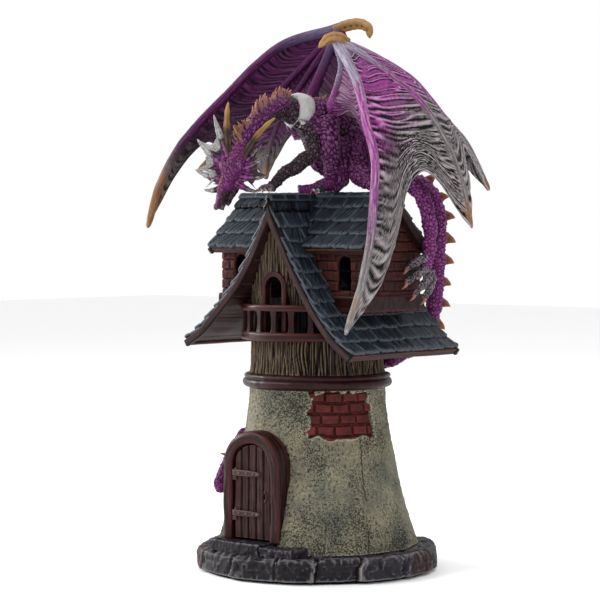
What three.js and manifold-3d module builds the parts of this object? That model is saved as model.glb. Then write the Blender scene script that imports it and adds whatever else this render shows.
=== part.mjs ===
// Dice tower: a stone-footed plaster tower with a timber drum, a slated cottage and a dragon on the ridge.
// Millimetres, +Z up, front towards -Y. The tower's axis is X = Y = 0 and the felt rests on Z = 0.
// Dice go in through the rear hatch, fall down the drum past two baffles and leave by the front door.
import * as THREE from 'three';
import { mergeVertices } from 'three/addons/utils/BufferGeometryUtils.js';
import Module from 'manifold-3d';

const wasm = await Module();
wasm.setup();

// ---- driving dimensions ----
const GAP = 0.3;
const FAR = 200;
const BASE = { radius: 61.5, bottom: 1.3, top: 12.5, felt: 57, feltThick: 1 };
const STEP = {
  left: -27, right: 28, bowLeft: -16, bowRight: 14,
  front: -57, corner: -53, back: -36, top: 18.2,
};
const WALL = 4.6;
const TOWER = [[50.2, 12.8], [47.6, 19.6], [44.4, 32], [41.8, 45], [37.6, 70], [34.7, 88], [34.2, 92.5]];
const MOULDING = [
  [29.8, 92.8], [36, 92.8], [37.9, 95.2], [36.3, 97.7], [37, 98.5], [36.2, 99.7], [29.8, 99.7],
];
const DRUM = { outer: 33.4, inner: 29.4, bottom: 100, top: 178 };
const DOOR = { centre: -3.5, half: 12.5, sill: 18.5, spring: 54, jamb: 6, front: -48, back: -37.5 };
const LEAF = { front: -44.4, back: -41, left: 0.4, right: 0.8, foot: 0.7, crown: 0.3 };
const LATCH = { radius: 1.3, inset: 3.6, height: 40.5 };
const STRAP = { thick: 1.3, start: 0.4, inset: 5.5 };
const HINGE = { x: -14.2, y: -46.4, heights: [31.5, 51.5], eye: 1.7, bore: 1, pin: 0.9, tall: 2.8, foot: 2 };
const PATCH = { from: -59, to: 2, bottom: 68, top: 91.5, depth: 1.6 };
const BALCONY = { inner: 33.7, outer: 38.2, bottom: 117.3, top: 121, spread: 52 };
const RAIL = { bottom: 131.8, top: 134.8, depth: 2.4, proud: 0.4 };
const BALUSTERS = [-130, -115, -100, -85, -70, -55];
const BALUSTER = { halfAngle: 1.7, inset: 0.2, depth: 1.8 };
const ARCH = { half: 5.2, frame: 2.8, sill: 121.3, spring: 143.5, front: -34.5, back: -29.5 };
const HATCH = { half: 15, frame: 3, sill: 122, spring: 139, front: 30, back: 40, thick: 3 };
const SILL = { front: 24, lip: 46, lipTall: 3 };
const REAR = { half: 26, bottom: 118.5, front: 33.8, back: 37 };
const ROOF = { front: -38, rear: 49, slate: 2.6, lining: 2.2, proud: 1 };
const ROOF_RIGHT = [
  [0, 190], [4, 180.5], [9, 171], [15.5, 158.5], [23, 146.5], [30, 136], [37, 127.5], [45, 119.5], [54, 113],
];
const ROOF_LEFT = [
  [0, 190], [-4, 180.5], [-9, 171], [-16, 158], [-26.5, 144], [-39, 131.5], [-48.5, 123], [-57.5, 117.5],
];
const CROSS = { left: -51.5, right: 51.5 };
const CROSS_SIDE = [[0, 190.5], [13, 177], [27, 164]];
const BAY = {
  end: 47, front: -20, rear: 24.5, rearTop: 158.5,
  thick: 3, floor: 132, beam: 139.5, beamProud: 1.5,
};
const WINDOW = { x: 34, half: 4.5, sill: 142, spring: 155 };

// Sloping boards inside, as (y, z) outlines: both baffles overlap at the middle of the shaft.
const BAFFLE_UPPER = [[60, 92], [-6, 71], [-6, 67.5], [60, 88.5]];
const BAFFLE_LOWER = [[-60, 72], [6, 50], [6, 46.5], [-60, 68.5]];
const EXIT_RAMP = [[60, 48.5], [-36.8, 18.4], [-36.8, 14.4], [60, 44.5]];

// ---- materials ----
const paint = (color, roughness = 0.6, metalness = 0) =>
  new THREE.MeshStandardMaterial({ color, roughness, metalness });
const PLASTER = paint(0x8d8a73, 0.85);
const STONE = paint(0x4b454f, 0.7);
const TIMBER = paint(0x3c1a19, 0.45);
const CARVED = paint(0x5a4a40, 0.8);
const BRICK = paint(0x6b2d2a, 0.75);
const SLATE = paint(0x3a4450, 0.6);
const SCALES = paint(0x7a2a70, 0.5);
const WING = paint(0x93588c, 0.55);
const BONE = paint(0xb98a4e, 0.5);
const DARK_SKIN = paint(0x3a3338, 0.6);
const IRON = paint(0x2b2422, 0.5, 0.6);
const FELT = paint(0x1d1d20, 0.95);
const RESIN = paint(0x4a4643, 0.7);

// ---- shape helpers ----
const assembly = new THREE.Group();

function solidOf(geometry) {
  const bare = geometry.index ? geometry : geometry.clone();
  bare.deleteAttribute('normal');
  bare.deleteAttribute('uv');
  const merged = mergeVertices(bare, 1e-4);
  const mesh = new wasm.Mesh({
    numProp: 3,
    vertProperties: new Float32Array(merged.attributes.position.array),
    triVerts: new Uint32Array(merged.index.array),
  });
  return new wasm.Manifold(mesh);
}

function place(name, solid, material) {
  const { vertProperties, triVerts } = solid.getMesh();
  const geometry = new THREE.BufferGeometry();
  geometry.setAttribute('position', new THREE.BufferAttribute(new Float32Array(vertProperties), 3));
  geometry.setIndex(new THREE.BufferAttribute(new Uint32Array(triVerts), 1));
  geometry.computeVertexNormals();
  const mesh = new THREE.Mesh(geometry, material);
  mesh.name = name;
  assembly.add(mesh);
}

function box([x0, x1], [y0, y1], [z0, z1]) {
  const geometry = new THREE.BoxGeometry(x1 - x0, y1 - y0, z1 - z0);
  return solidOf(geometry.translate((x0 + x1) / 2, (y0 + y1) / 2, (z0 + z1) / 2));
}

// Outlines are drawn in the plane across the named axis and pushed along it.
const TURN = {
  x: new THREE.Matrix4().set(0, 0, 1, 0, 1, 0, 0, 0, 0, 1, 0, 0, 0, 0, 0, 1),
  y: new THREE.Matrix4().set(1, 0, 0, 0, 0, 0, -1, 0, 0, 1, 0, 0, 0, 0, 0, 1),
  z: new THREE.Matrix4(),
};

function prism(axis, outline, from, to) {
  const shape = outline instanceof THREE.Shape
    ? outline : new THREE.Shape(outline.map(([a, b]) => new THREE.Vector2(a, b)));
  const depth = to - from;
  const geometry = new THREE.ExtrudeGeometry(shape, { depth, bevelEnabled: false, curveSegments: 12 });
  geometry.translate(0, 0, axis === 'y' ? -to : from);
  return solidOf(geometry.applyMatrix4(TURN[axis]));
}

function ringSolid(profile, segments = 36) {
  const closed = [...profile, profile[0]].map(([r, z]) => new THREE.Vector2(r, z));
  return solidOf(new THREE.LatheGeometry(closed, segments).rotateX(Math.PI / 2));
}

function rod(x, y, radius, z0, z1, sides = 16) {
  const geometry = new THREE.CylinderGeometry(radius, radius, z1 - z0, sides).rotateX(Math.PI / 2);
  return solidOf(geometry.translate(x, y, (z0 + z1) / 2));
}

// A box bent round the tower's axis, between two angles in degrees.
function sector(from, to, z0, z1, inner, outer, cuts = 8) {
  const geometry = new THREE.BoxGeometry(1, 1, 1, cuts, z1 - z0 > 15 ? 4 : 1, 1);
  const spots = geometry.attributes.position;
  for (let i = 0; i < spots.count; i += 1) {
    const angle = THREE.MathUtils.degToRad(from + (spots.getX(i) + 0.5) * (to - from));
    const height = z0 + (spots.getY(i) + 0.5) * (z1 - z0);
    const radius = spots.getZ(i) > 0 ? outer(height) : inner(height);
    spots.setXYZ(i, radius * Math.cos(angle), radius * Math.sin(angle), height);
  }
  return solidOf(geometry);
}

function archOutline(centre, half, sill, spring) {
  const shape = new THREE.Shape();
  shape.moveTo(centre - half, sill);
  shape.lineTo(centre + half, sill);
  shape.lineTo(centre + half, spring);
  shape.absarc(centre, spring, half, 0, Math.PI, false);
  shape.lineTo(centre - half, sill);
  return shape;
}

const archPrism = (centre, half, sill, spring, from, to) =>
  prism('y', archOutline(centre, half, sill, spring), from, to);

// The line moved sideways by an amount, measured square to each stretch.
function offsetLine(line, amount) {
  return line.map(([a, b], i) => {
    const before = line[Math.max(i - 1, 0)];
    const after = line[Math.min(i + 1, line.length - 1)];
    const along = new THREE.Vector2(after[0] - before[0], after[1] - before[1]).normalize();
    const side = Math.sign(line[line.length - 1][0] - line[0][0]);
    return [a + side * along.y * amount, b - side * along.x * amount];
  });
}

// A roof line that starts on the ridge plane, lowered square to itself and cut off again at that plane.
function lowered(line, amount) {
  const moved = offsetLine(line, amount);
  const side = Math.sign(line[line.length - 1][0]);
  const first = Math.max(moved.findIndex(([a]) => side * a > 0), 1);
  const [[a0, b0], [a1, b1]] = [moved[first - 1], moved[first]];
  return [[0, b0 - (a0 * (b1 - b0)) / (a1 - a0)], ...moved.slice(first === 1 && side * a0 > 0 ? 0 : first)];
}

// A band between two depths below a roof line.
const roofBand = (line, upper, lower) => [...lowered(line, upper), ...lowered(line, lower).reverse()];

const curveOf = (points) =>
  new THREE.CatmullRomCurve3(points.map((p) => new THREE.Vector3(...p)), false, 'centripetal');

// A round limb along a smooth line, with a radius given at each of its points.
function limb(points, radii, { sides = 7, steps = 9, grow = 0 } = {}) {
  const path = curveOf(points);
  const frames = path.computeFrenetFrames(steps, false);
  const geometry = new THREE.CylinderGeometry(1, 1, 1, sides, steps);
  const spots = geometry.attributes.position;
  for (let i = 0; i < spots.count; i += 1) {
    const step = Math.round((spots.getY(i) + 0.5) * steps);
    const t = step / steps;
    const scaled = t * (radii.length - 1);
    const low = Math.min(Math.floor(scaled), radii.length - 2);
    const radius = THREE.MathUtils.lerp(radii[low], radii[low + 1], scaled - low) + grow;
    const spot = path.getPointAt(t);
    spot.addScaledVector(frames.tangents[step], (step === 0 ? -grow : 0) + (step === steps ? grow : 0));
    spot.addScaledVector(frames.normals[step], spots.getZ(i) * radius);
    spot.addScaledVector(frames.binormals[step], spots.getX(i) * radius);
    spots.setXYZ(i, spot.x, spot.y, spot.z);
  }
  return solidOf(geometry);
}

// A skin stretched between two fingers, with its free edge drawn in between the tips.
function web(fingerA, fingerB, { inset = 0.28, sag = 3, thick = 1.2, across = 4, along = 6 } = {}) {
  const [a, b] = [curveOf(fingerA), curveOf(fingerB)];
  const start = 0.06;
  const spotAt = (u, v) => {
    const reach = start + (1 - start) * u * (1 - inset * Math.sqrt(Math.sin(Math.PI * v)));
    const spot = a.getPointAt(reach).lerp(b.getPointAt(reach), v);
    spot.z -= sag * Math.sin(Math.PI * v) * u;
    return spot;
  };
  const geometry = new THREE.BoxGeometry(1, 1, 1, along, across, 1);
  const spots = geometry.attributes.position;
  const small = 0.01;
  for (let i = 0; i < spots.count; i += 1) {
    const u = THREE.MathUtils.clamp(spots.getX(i) + 0.5, 0, 1);
    const v = THREE.MathUtils.clamp(spots.getY(i) + 0.5, 0, 1);
    const [u0, v0] = [THREE.MathUtils.clamp(u, small, 1 - small), THREE.MathUtils.clamp(v, 0.12, 0.88)];
    const du = spotAt(u0 + small, v0).sub(spotAt(u0 - small, v0));
    const dv = spotAt(u0, v0 + small).sub(spotAt(u0, v0 - small));
    const out = du.cross(dv).normalize();
    const spot = spotAt(u, v).addScaledVector(out, Math.sign(spots.getZ(i)) * thick / 2);
    spots.setXYZ(i, spot.x, spot.y, spot.z);
  }
  return solidOf(geometry);
}

const union = (solids) => solids.reduce((sum, next) => sum.add(next));

function cone(from, to, radius, sides = 6) {
  const start = new THREE.Vector3(...from);
  const end = new THREE.Vector3(...to);
  const geometry = new THREE.ConeGeometry(radius, start.distanceTo(end), sides);
  const aim = end.clone().sub(start).normalize();
  geometry.applyQuaternion(new THREE.Quaternion().setFromUnitVectors(new THREE.Vector3(0, 1, 0), aim));
  return solidOf(geometry.translate((start.x + end.x) / 2, (start.y + end.y) / 2, (start.z + end.z) / 2));
}

// ---- roof envelopes, used to trim what meets the roof ----
const mirrored = (line) => line.map(([a, b]) => [-a, b]);
const bothSides = [...ROOF_LEFT].reverse().concat(ROOF_RIGHT.slice(1));
const crossBoth = [...mirrored(CROSS_SIDE)].reverse().concat(CROSS_SIDE.slice(1));
const LINING_DEPTH = ROOF.slate + GAP + ROOF.lining;

// Everything above (turn +1) or below (turn -1) a two-sided roof line lowered by an amount.
function beyondLine(axis, line, amount, turn, from, to) {
  const left = lowered(line.filter(([a]) => a <= 0).reverse(), amount);
  const right = lowered(line.filter(([a]) => a >= 0), amount);
  const outline = [...left.reverse(), ...right.slice(1)];
  const end = turn > 0 ? FAR * 2 : -FAR;
  return prism(axis, [[outline[0][0], end], ...outline, [outline[outline.length - 1][0], end]], from, to);
}

const roofAndAbove = beyondLine('y', bothSides, LINING_DEPTH + GAP, 1, ROOF.front - 5, ROOF.rear + 5);
const roofAndBelow = beyondLine('y', bothSides, -GAP, -1, ROOF.front - 5, ROOF.rear + 5);
const crossAndAbove = beyondLine('x', crossBoth, LINING_DEPTH + GAP, 1, -FAR, FAR);

// ---- base ----
place('base_felt', rod(0, 0, BASE.felt, 0, BASE.feltThick, 36), FELT);

const stoneEdge = Array.from({ length: 40 }, (_, i) => {
  const angle = (i / 40) * Math.PI * 2;
  const radius = BASE.radius + 1.1 * Math.sin(5 * angle + 0.6) + 0.8 * Math.sin(11 * angle);
  return [radius * Math.cos(angle), radius * Math.sin(angle)];
});
place('stone_base', prism('z', stoneEdge, BASE.bottom, BASE.top), STONE);

// ---- tower wall with its door ----
const radiusAt = (line, z) => {
  const upper = line.findIndex(([, height]) => height >= z);
  const [[r0, z0], [r1, z1]] = [line[Math.max(upper - 1, 0)], line[Math.max(upper, 1)]];
  return r0 + ((r1 - r0) * (z - z0)) / (z1 - z0);
};
const outerWall = (z) => radiusAt(TOWER, THREE.MathUtils.clamp(z, TOWER[0][1], towerTop));
const towerTop = TOWER[TOWER.length - 1][1];
const towerFull = (foot, grow) =>
  ringSolid([[0, foot], ...TOWER.map(([r, z]) => [r + grow, z]), [0, towerTop]]);
const towerTube = ringSolid([...TOWER, ...TOWER.map(([r, z]) => [r - WALL, z]).reverse()], 40);
const frameOuter = (grow) => archPrism(
  DOOR.centre, DOOR.half + DOOR.jamb + grow, DOOR.sill, DOOR.spring + grow / 2, -70, -20);
const patchPocket = sector(PATCH.from - 0.5, PATCH.to + 0.5, PATCH.bottom - GAP, PATCH.top + GAP,
  (z) => outerWall(z) - PATCH.depth - GAP, (z) => outerWall(z) + 3, 8);
place('tower_wall', towerTube.subtract(frameOuter(GAP)).subtract(patchPocket), PLASTER);
place('brick_patch', sector(PATCH.from, PATCH.to, PATCH.bottom, PATCH.top,
  (z) => outerWall(z) - PATCH.depth, (z) => outerWall(z) - GAP, 8), BRICK);

const stepOutline = [
  [STEP.left, STEP.corner], [STEP.bowLeft, STEP.front], [STEP.bowRight, STEP.front],
  [STEP.right, STEP.corner], [STEP.right, STEP.back], [STEP.left, STEP.back],
];
place('doorstep', prism('z', stepOutline, BASE.top + GAP, STEP.top)
  .subtract(towerFull(TOWER[0][1] - 1, GAP)), STONE);

const doorOpening = archPrism(DOOR.centre, DOOR.half, DOOR.sill - 1, DOOR.spring, -70, -20);
const doorSurround = archPrism(
  DOOR.centre, DOOR.half + DOOR.jamb, DOOR.sill, DOOR.spring, DOOR.front, DOOR.back);
place('door_frame', doorSurround.subtract(doorOpening), TIMBER);

const leafLeft = DOOR.centre - DOOR.half + LEAF.left;
const leafRight = DOOR.centre + DOOR.half - LEAF.right;
const leafCentre = (leafLeft + leafRight) / 2;
const leafHalf = (leafRight - leafLeft) / 2;
const latchHole = rod(0, 0, LATCH.radius, -6, 6, 12)
  .rotate([90, 0, 0]).translate([leafRight - LATCH.inset, LEAF.front, LATCH.height]);
const leafSolid = archPrism(
  leafCentre, leafHalf, DOOR.sill + LEAF.foot, DOOR.spring - LEAF.crown, LEAF.front, LEAF.back);
place('door_leaf', leafSolid.subtract(latchHole), TIMBER);

HINGE.heights.forEach((height, i) => {
  const side = ['lower', 'upper'][i];
  const [low, high] = [height - HINGE.tall / 2, height + HINGE.tall / 2];
  const bar = box([HINGE.x + STRAP.start, leafRight - STRAP.inset],
    [LEAF.front - GAP - STRAP.thick, LEAF.front - GAP], [low, high]);
  const eye = rod(HINGE.x, HINGE.y, HINGE.eye, low, high, 20);
  const bore = rod(HINGE.x, HINGE.y, HINGE.bore, low - 1, high + 1);
  place(`door_strap_${side}`, bar.add(eye).subtract(bore), IRON);
  const foot = box([DOOR.centre - DOOR.half + GAP, HINGE.x + HINGE.foot / 2],
    [HINGE.y - HINGE.foot / 2, HINGE.y + HINGE.foot / 2], [low - GAP - HINGE.foot, low - GAP]);
  const pin = rod(HINGE.x, HINGE.y, HINGE.pin, low - 1, high + 0.8);
  place(`door_pintle_${side}`, foot.add(pin), IRON);
});

// ---- ring moulding and drum ----
place('ring_moulding', ringSolid(MOULDING), TIMBER);

const archCut = archPrism(0, ARCH.half + ARCH.frame + GAP, ARCH.sill - GAP, ARCH.spring + GAP / 2, -50, -20);
const hatchHalf = HATCH.half + HATCH.frame;
const hatchFloor = HATCH.sill - HATCH.thick;
const hatchCut = box([-hatchHalf - GAP, hatchHalf + GAP], [15, 60], [hatchFloor - GAP, DRUM.top + 1]);
const drumTube = ringSolid([
  [DRUM.inner, DRUM.bottom], [DRUM.outer, DRUM.bottom], [DRUM.outer, DRUM.top], [DRUM.inner, DRUM.top],
]);
place('drum_wall', drumTube.subtract(roofAndAbove).subtract(archCut).subtract(hatchCut), CARVED);

const balconySurround = archPrism(0, ARCH.half + ARCH.frame, ARCH.sill, ARCH.spring, ARCH.front, ARCH.back);
place('balcony_door_frame', balconySurround
  .subtract(archPrism(0, ARCH.half, ARCH.sill - 1, ARCH.spring, -60, -20)), TIMBER);

const hatchHole = (grow) => archPrism(0, hatchHalf + grow, hatchFloor - grow, HATCH.spring, 0, 60);
place('rear_gable', box([-REAR.half, REAR.half], [REAR.front, REAR.back], [REAR.bottom, DRUM.top])
  .subtract(roofAndAbove).subtract(hatchHole(GAP)), CARVED);
place('hatch_frame', archPrism(0, hatchHalf, HATCH.sill + GAP, HATCH.spring, HATCH.front, HATCH.back)
  .subtract(archPrism(0, HATCH.half, HATCH.sill - 1, HATCH.spring, 0, 60)), TIMBER);
place('hatch_sill', prism('x', [
  [SILL.front, hatchFloor], [SILL.lip, hatchFloor], [SILL.lip, HATCH.sill + SILL.lipTall],
  [SILL.lip - 1.6, HATCH.sill + SILL.lipTall], [SILL.lip - 2.4, HATCH.sill], [SILL.front, HATCH.sill],
], -hatchHalf, hatchHalf), TIMBER);

// ---- balcony ----
const round = (radius) => () => radius;
const spreadFrom = -90 - BALCONY.spread;
const spreadTo = -90 + BALCONY.spread;
place('balcony_deck', sector(spreadFrom, spreadTo, BALCONY.bottom, BALCONY.top,
  round(BALCONY.inner), round(BALCONY.outer), 10).subtract(roofAndAbove).subtract(archCut), TIMBER);
place('balcony_rail', sector(spreadFrom, spreadTo, RAIL.bottom, RAIL.top,
  round(BALCONY.outer - RAIL.depth), round(BALCONY.outer + RAIL.proud), 10).subtract(roofAndAbove), TIMBER);
BALUSTERS.forEach((angle, i) => {
  const outer = BALCONY.outer - BALUSTER.inset;
  const post = sector(angle - BALUSTER.halfAngle, angle + BALUSTER.halfAngle,
    BALCONY.top + GAP, RAIL.bottom - GAP, round(outer - BALUSTER.depth), round(outer), 1);
  place(`baluster_${i + 1}`, post.subtract(roofAndAbove), TIMBER);
});

// ---- main roof ----
const sides = { right: ROOF_RIGHT, left: ROOF_LEFT };
for (const [side, line] of Object.entries(sides)) {
  const turn = Math.sign(line[line.length - 1][0]);
  const clear = box(turn > 0 ? [GAP / 2, FAR] : [-FAR, -GAP / 2], [-FAR, FAR], [0, FAR * 2]);
  place(`roof_slates_${side}`, prism('y', roofBand(line, 0, ROOF.slate), ROOF.front, ROOF.rear)
    .intersect(clear), SLATE);
  place(`roof_lining_${side}`, prism('y', roofBand(line, ROOF.slate + GAP, LINING_DEPTH),
    ROOF.front - ROOF.proud, ROOF.rear + ROOF.proud).intersect(clear), TIMBER);
}

// ---- cross roof over the two bays ----
const bays = {
  right: { ends: [1, CROSS.right], sign: 1 },
  left: { ends: [CROSS.left, -1], sign: -1 },
};
const crossBand = (upper, lower) => {
  const half = roofBand(CROSS_SIDE, upper, lower);
  return prism('x', half, -FAR, FAR).add(prism('x', mirrored(half).reverse(), -FAR, FAR));
};
const slateShell = crossBand(0, ROOF.slate);
const liningShell = crossBand(ROOF.slate + GAP, LINING_DEPTH);
for (const [side, { ends, sign }] of Object.entries(bays)) {
  const span = (trim) => box(
    [ends[0] + (sign < 0 ? -trim : 0), ends[1] + (sign > 0 ? trim : 0)], [-FAR, FAR], [0, FAR * 2]);
  place(`cross_slates_${side}`, slateShell.intersect(span(0)).subtract(roofAndBelow), SLATE);
  place(`cross_lining_${side}`, liningShell.intersect(span(ROOF.proud)).subtract(roofAndBelow), TIMBER);

  const along = (near, far) => (sign > 0 ? [near, far] : [-far, -near]);
  const face = [BAY.beam + GAP, 190];
  const trimmed = (solid) => solid.subtract(crossAndAbove).subtract(roofAndBelow);
  const opening = archPrism(sign * WINDOW.x, WINDOW.half, WINDOW.sill, WINDOW.spring, -30, -10);
  place(`bay_front_${side}`, trimmed(box(along(5, BAY.end), [BAY.front, BAY.front + BAY.thick], face))
    .subtract(opening), BRICK);
  place(`bay_rear_${side}`, trimmed(box(along(5, BAY.end), [BAY.rear - BAY.thick, BAY.rear],
    [BAY.beam + GAP, BAY.rearTop])), BRICK);
  place(`bay_gable_${side}`, trimmed(box(along(BAY.end - BAY.thick, BAY.end),
    [BAY.front + BAY.thick + GAP, BAY.rear - BAY.thick - GAP], face)), BRICK);
  place(`bay_beam_${side}`, trimmed(box(along(10, BAY.end + BAY.beamProud),
    [BAY.front - BAY.beamProud, BAY.rear + BAY.beamProud], [BAY.floor, BAY.beam])), TIMBER);
}

// ---- inside: the floor round the shaft, two baffles and the exit ramp ----
const inside = towerFull(TOWER[0][1] + 0.2, -WALL - GAP);
const slab = (outline) => prism('x', outline, -60, 60);
place('baffle_upper', slab(BAFFLE_UPPER).intersect(inside), RESIN);
place('baffle_lower', slab(BAFFLE_LOWER).intersect(inside), RESIN);
place('exit_ramp', slab(EXIT_RAMP).intersect(inside)
  .subtract(frameOuter(GAP)), RESIN);

// ---- dragon ----
const BODY = {
  points: [[-2, -14, 231], [0, -2, 229.5], [2, 10, 226], [3, 20, 221], [4, 27, 215]],
  radii: [6.5, 8.5, 8, 8.5, 6.5],
};
const NECK = {
  points: [[-2, -14, 231], [-3, -24, 233], [-3, -34, 230], [-5, -43, 223], [-9, -46, 213]],
  radii: [6.5, 5.5, 5, 4.6, 4.4],
};
const HEAD = {
  points: [[-9, -46, 213], [-11, -51, 204], [-13, -55, 193], [-15, -57, 182]],
  radii: [4.6, 6.6, 5, 2.6],
};
const TAIL = {
  points: [
    [4, 27, 215], [6, 38, 206], [14, 47, 199], [28, 53, 193], [35, 54, 180], [35, 54, 162], [32, 57, 143],
    [29, 57, 126], [26, 48, 112], [22.5, 34, 106], [9, 40.5, 103], [-12, 42, 92], [-32, 31, 81],
    [-42.5, 14, 73], [-42.5, -8, 66.5], [-39.5, -20, 59.5],
    [-41.5, -24, 51], [-43, -25.7, 43], [-41.2, -26.6, 38],
  ],
  radii: [6.5, 5.5, 5, 4.6, 4.4, 4.2, 4, 3.8, 3.6, 3.4, 3.4, 3.2, 3, 2.7, 2.5, 2.4, 2.4, 3.4, 2.4],
};
const LEGS = {
  front_right: {
    points: [[2, -11, 225], [8, -13, 212], [5, -20, 205], [1, -29, 199], [0, -36, 192.8]],
    radii: [4, 3.4, 3, 2.4, 1.8],
  },
  front_left: {
    points: [[8, -3, 227], [13, -6, 214], [12, -3, 203], [9, -1, 196], [1, -14, 192.8]],
    radii: [5, 4.2, 3, 2.4, 1.8],
  },
  hind_right: {
    points: [[-4, 21, 221], [-12, 16, 210], [-8, 24, 200], [-1, 12, 192.8]],
    radii: [5.5, 4.6, 3.2, 1.8],
  },
  hind_left: {
    points: [
      [10, 22, 218], [17, 14, 206], [27, 18, 199], [45, 22, 194],
      [55, 21, 180], [55, 18, 163], [53.5, 12, 151],
    ],
    radii: [6, 5, 4.2, 3.6, 3.2, 2.8, 2.2],
  },
};
const grown = (part, grow, options = {}) => limb(part.points, part.radii, { ...options, grow });

const bodySolid = grown(BODY, 0, { sides: 10, steps: 8 });
const bodyGrown = grown(BODY, GAP, { sides: 10, steps: 8 });
place('dragon_body', bodySolid, SCALES);
const neckSolid = grown(NECK, 0, { sides: 9, steps: 8 }).subtract(bodyGrown);
const neckGrown = grown(NECK, GAP, { sides: 9, steps: 8 });
place('dragon_neck', neckSolid, SCALES);
const headSolid = grown(HEAD, 0, { sides: 9, steps: 6 }).subtract(neckGrown);
const headGrown = grown(HEAD, GAP, { sides: 9, steps: 6 });
place('dragon_head', headSolid, SCALES);

const HORN_RADIUS = 2.2;
const horn = (from, to) => cone(from, to, HORN_RADIUS).subtract(headGrown).subtract(neckGrown);
place('horn_right', horn([-14, -53, 207], [-12, -54, 235]), BONE);
place('horn_left', horn([-6, -49, 206], [9, -43, 227]), BONE);
const shoulders = bodyGrown.add(neckGrown);
for (const [name, leg] of Object.entries(LEGS)) {
  place(`leg_${name}`, grown(leg, 0).subtract(shoulders), name === 'front_right' ? DARK_SKIN : SCALES);
}
const legsGrown = union(Object.values(LEGS).map((leg) => grown(leg, GAP)));

const TAIL_SPLIT = 8;
const TAIL_SPIKES = [[42, 53, 187], [42.5, 54, 172], [40, 58, 152]];
const part = (whole, from, to) => ({
  points: whole.points.slice(from, to + 1),
  radii: whole.radii.slice(from, to + 1),
});
const upperTail = part(TAIL, 0, TAIL_SPLIT);
const lowerTail = part(TAIL, TAIL_SPLIT, TAIL.points.length - 1);
const tailSpikes = union(TAIL_SPIKES.map(([x, y, z]) => cone([x - 7, y, z - 1], [x + 3, y + 1, z + 3], 3)));
const spinyTail = grown(upperTail, 0, { steps: 20 }).add(tailSpikes);
place('tail_upper', spinyTail.subtract(bodyGrown).subtract(legsGrown), SCALES);
const thinTail = grown(lowerTail, 0, { steps: 24 });
place('tail_lower', thinTail.subtract(grown(upperTail, GAP, { steps: 20 })), SCALES);

// ---- wings: a claw on the wrist, an arm and three or four fingers with skin between them ----
const WINGS = {
  left: {
    arm: [[9, 1, 236], [13, 1, 245], [18, -2, 255], [19, -7, 266]],
    claw: [[20, -7, 267], [17, -12, 268], [14, -18, 262.5]],
    fingers: [
      [
        [19, -7, 266], [36, -12, 244], [45, -17, 226], [54, -21, 206],
        [58, -27, 187], [59, -31, 167], [55, -33, 145], [47, -35, 121],
      ],
      [[19, -7, 266], [32, -4, 259], [44, 1, 250], [57, 7, 238], [67, 14, 221], [72, 24, 198], [72, 34, 173]],
      [
        [19, -7, 266], [29, 6, 260], [43, 23, 247], [52, 38, 228],
        [56, 50, 216], [60, 58, 201], [62, 62, 192],
      ],
      [[19, -7, 266], [20, 7, 254], [18, 22, 238], [14, 32, 224]],
    ],
  },
  right: {
    arm: [[-8, 1, 234], [-9, 11, 249], [-9, 21, 265], [-8, 27, 276]],
    claw: [[-8, 27, 276], [1, 31, 279], [8, 34, 276.5], [9, 34, 271]],
    fingers: [
      [
        [-8, 27, 276], [-34, 16, 269], [-48, 8, 258], [-60, -1, 243],
        [-70, -12, 228], [-77, -23, 212], [-80, -33, 193], [-80, -41, 173],
      ],
      [[-8, 27, 276], [-30, 22, 256], [-48, 12, 236], [-60, -4, 216], [-68, -16, 202]],
      [[-8, 27, 276], [-27, 24, 252], [-36, 14, 230], [-32, -2, 210], [-26, -10, 198]],
      [[-8, 27, 276], [-16, 25, 256], [-17, 18, 240], [-14, 8, 228]],
    ],
  },
};
const FINGER_RADII = [2.4, 2, 1.7, 1.4, 0.9];
const ARM_RADII = [4, 3.2, 2.8, 2.6];
const CLAW_RADII = [2.6, 2.2, 0.7];
for (const [side, { arm, claw, fingers }] of Object.entries(WINGS)) {
  const bones = fingers.map((finger) => limb(finger, FINGER_RADII, { sides: 5, steps: 9 }));
  const skins = fingers.slice(1).map((finger, i) => web(fingers[i], finger));
  const wing = union([...bones, ...skins, limb(arm, ARM_RADII, { sides: 6, steps: 4 })]);
  const clawGrown = limb(claw, CLAW_RADII, { sides: 7, steps: 6, grow: GAP });
  place(`wing_${side}`, wing.subtract(shoulders).subtract(legsGrown).subtract(clawGrown), WING);
  place(`wing_claw_${side}`, limb(claw, CLAW_RADII, { sides: 7, steps: 6 }), BONE);
}

export default assembly;
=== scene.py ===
"""Looks of the dice tower: hand-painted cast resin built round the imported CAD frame. Sizes are in mm."""
import math
from itertools import product

import bmesh
import bpy
import numpy as np
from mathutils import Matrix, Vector


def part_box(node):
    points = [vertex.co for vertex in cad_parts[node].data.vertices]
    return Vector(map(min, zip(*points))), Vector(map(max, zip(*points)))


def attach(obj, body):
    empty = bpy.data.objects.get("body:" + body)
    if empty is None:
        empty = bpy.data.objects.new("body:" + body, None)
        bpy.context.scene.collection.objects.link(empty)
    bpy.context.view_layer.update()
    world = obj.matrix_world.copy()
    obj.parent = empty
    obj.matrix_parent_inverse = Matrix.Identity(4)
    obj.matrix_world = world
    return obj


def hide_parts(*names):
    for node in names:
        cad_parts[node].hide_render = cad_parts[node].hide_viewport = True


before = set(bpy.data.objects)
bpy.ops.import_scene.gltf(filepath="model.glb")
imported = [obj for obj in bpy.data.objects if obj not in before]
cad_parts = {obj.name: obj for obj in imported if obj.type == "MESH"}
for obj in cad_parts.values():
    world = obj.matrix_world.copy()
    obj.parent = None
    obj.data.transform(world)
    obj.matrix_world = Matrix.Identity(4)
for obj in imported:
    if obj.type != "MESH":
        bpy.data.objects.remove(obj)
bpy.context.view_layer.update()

MM = 0.001
rng = np.random.default_rng(11)
TAU = 2 * math.pi


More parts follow.
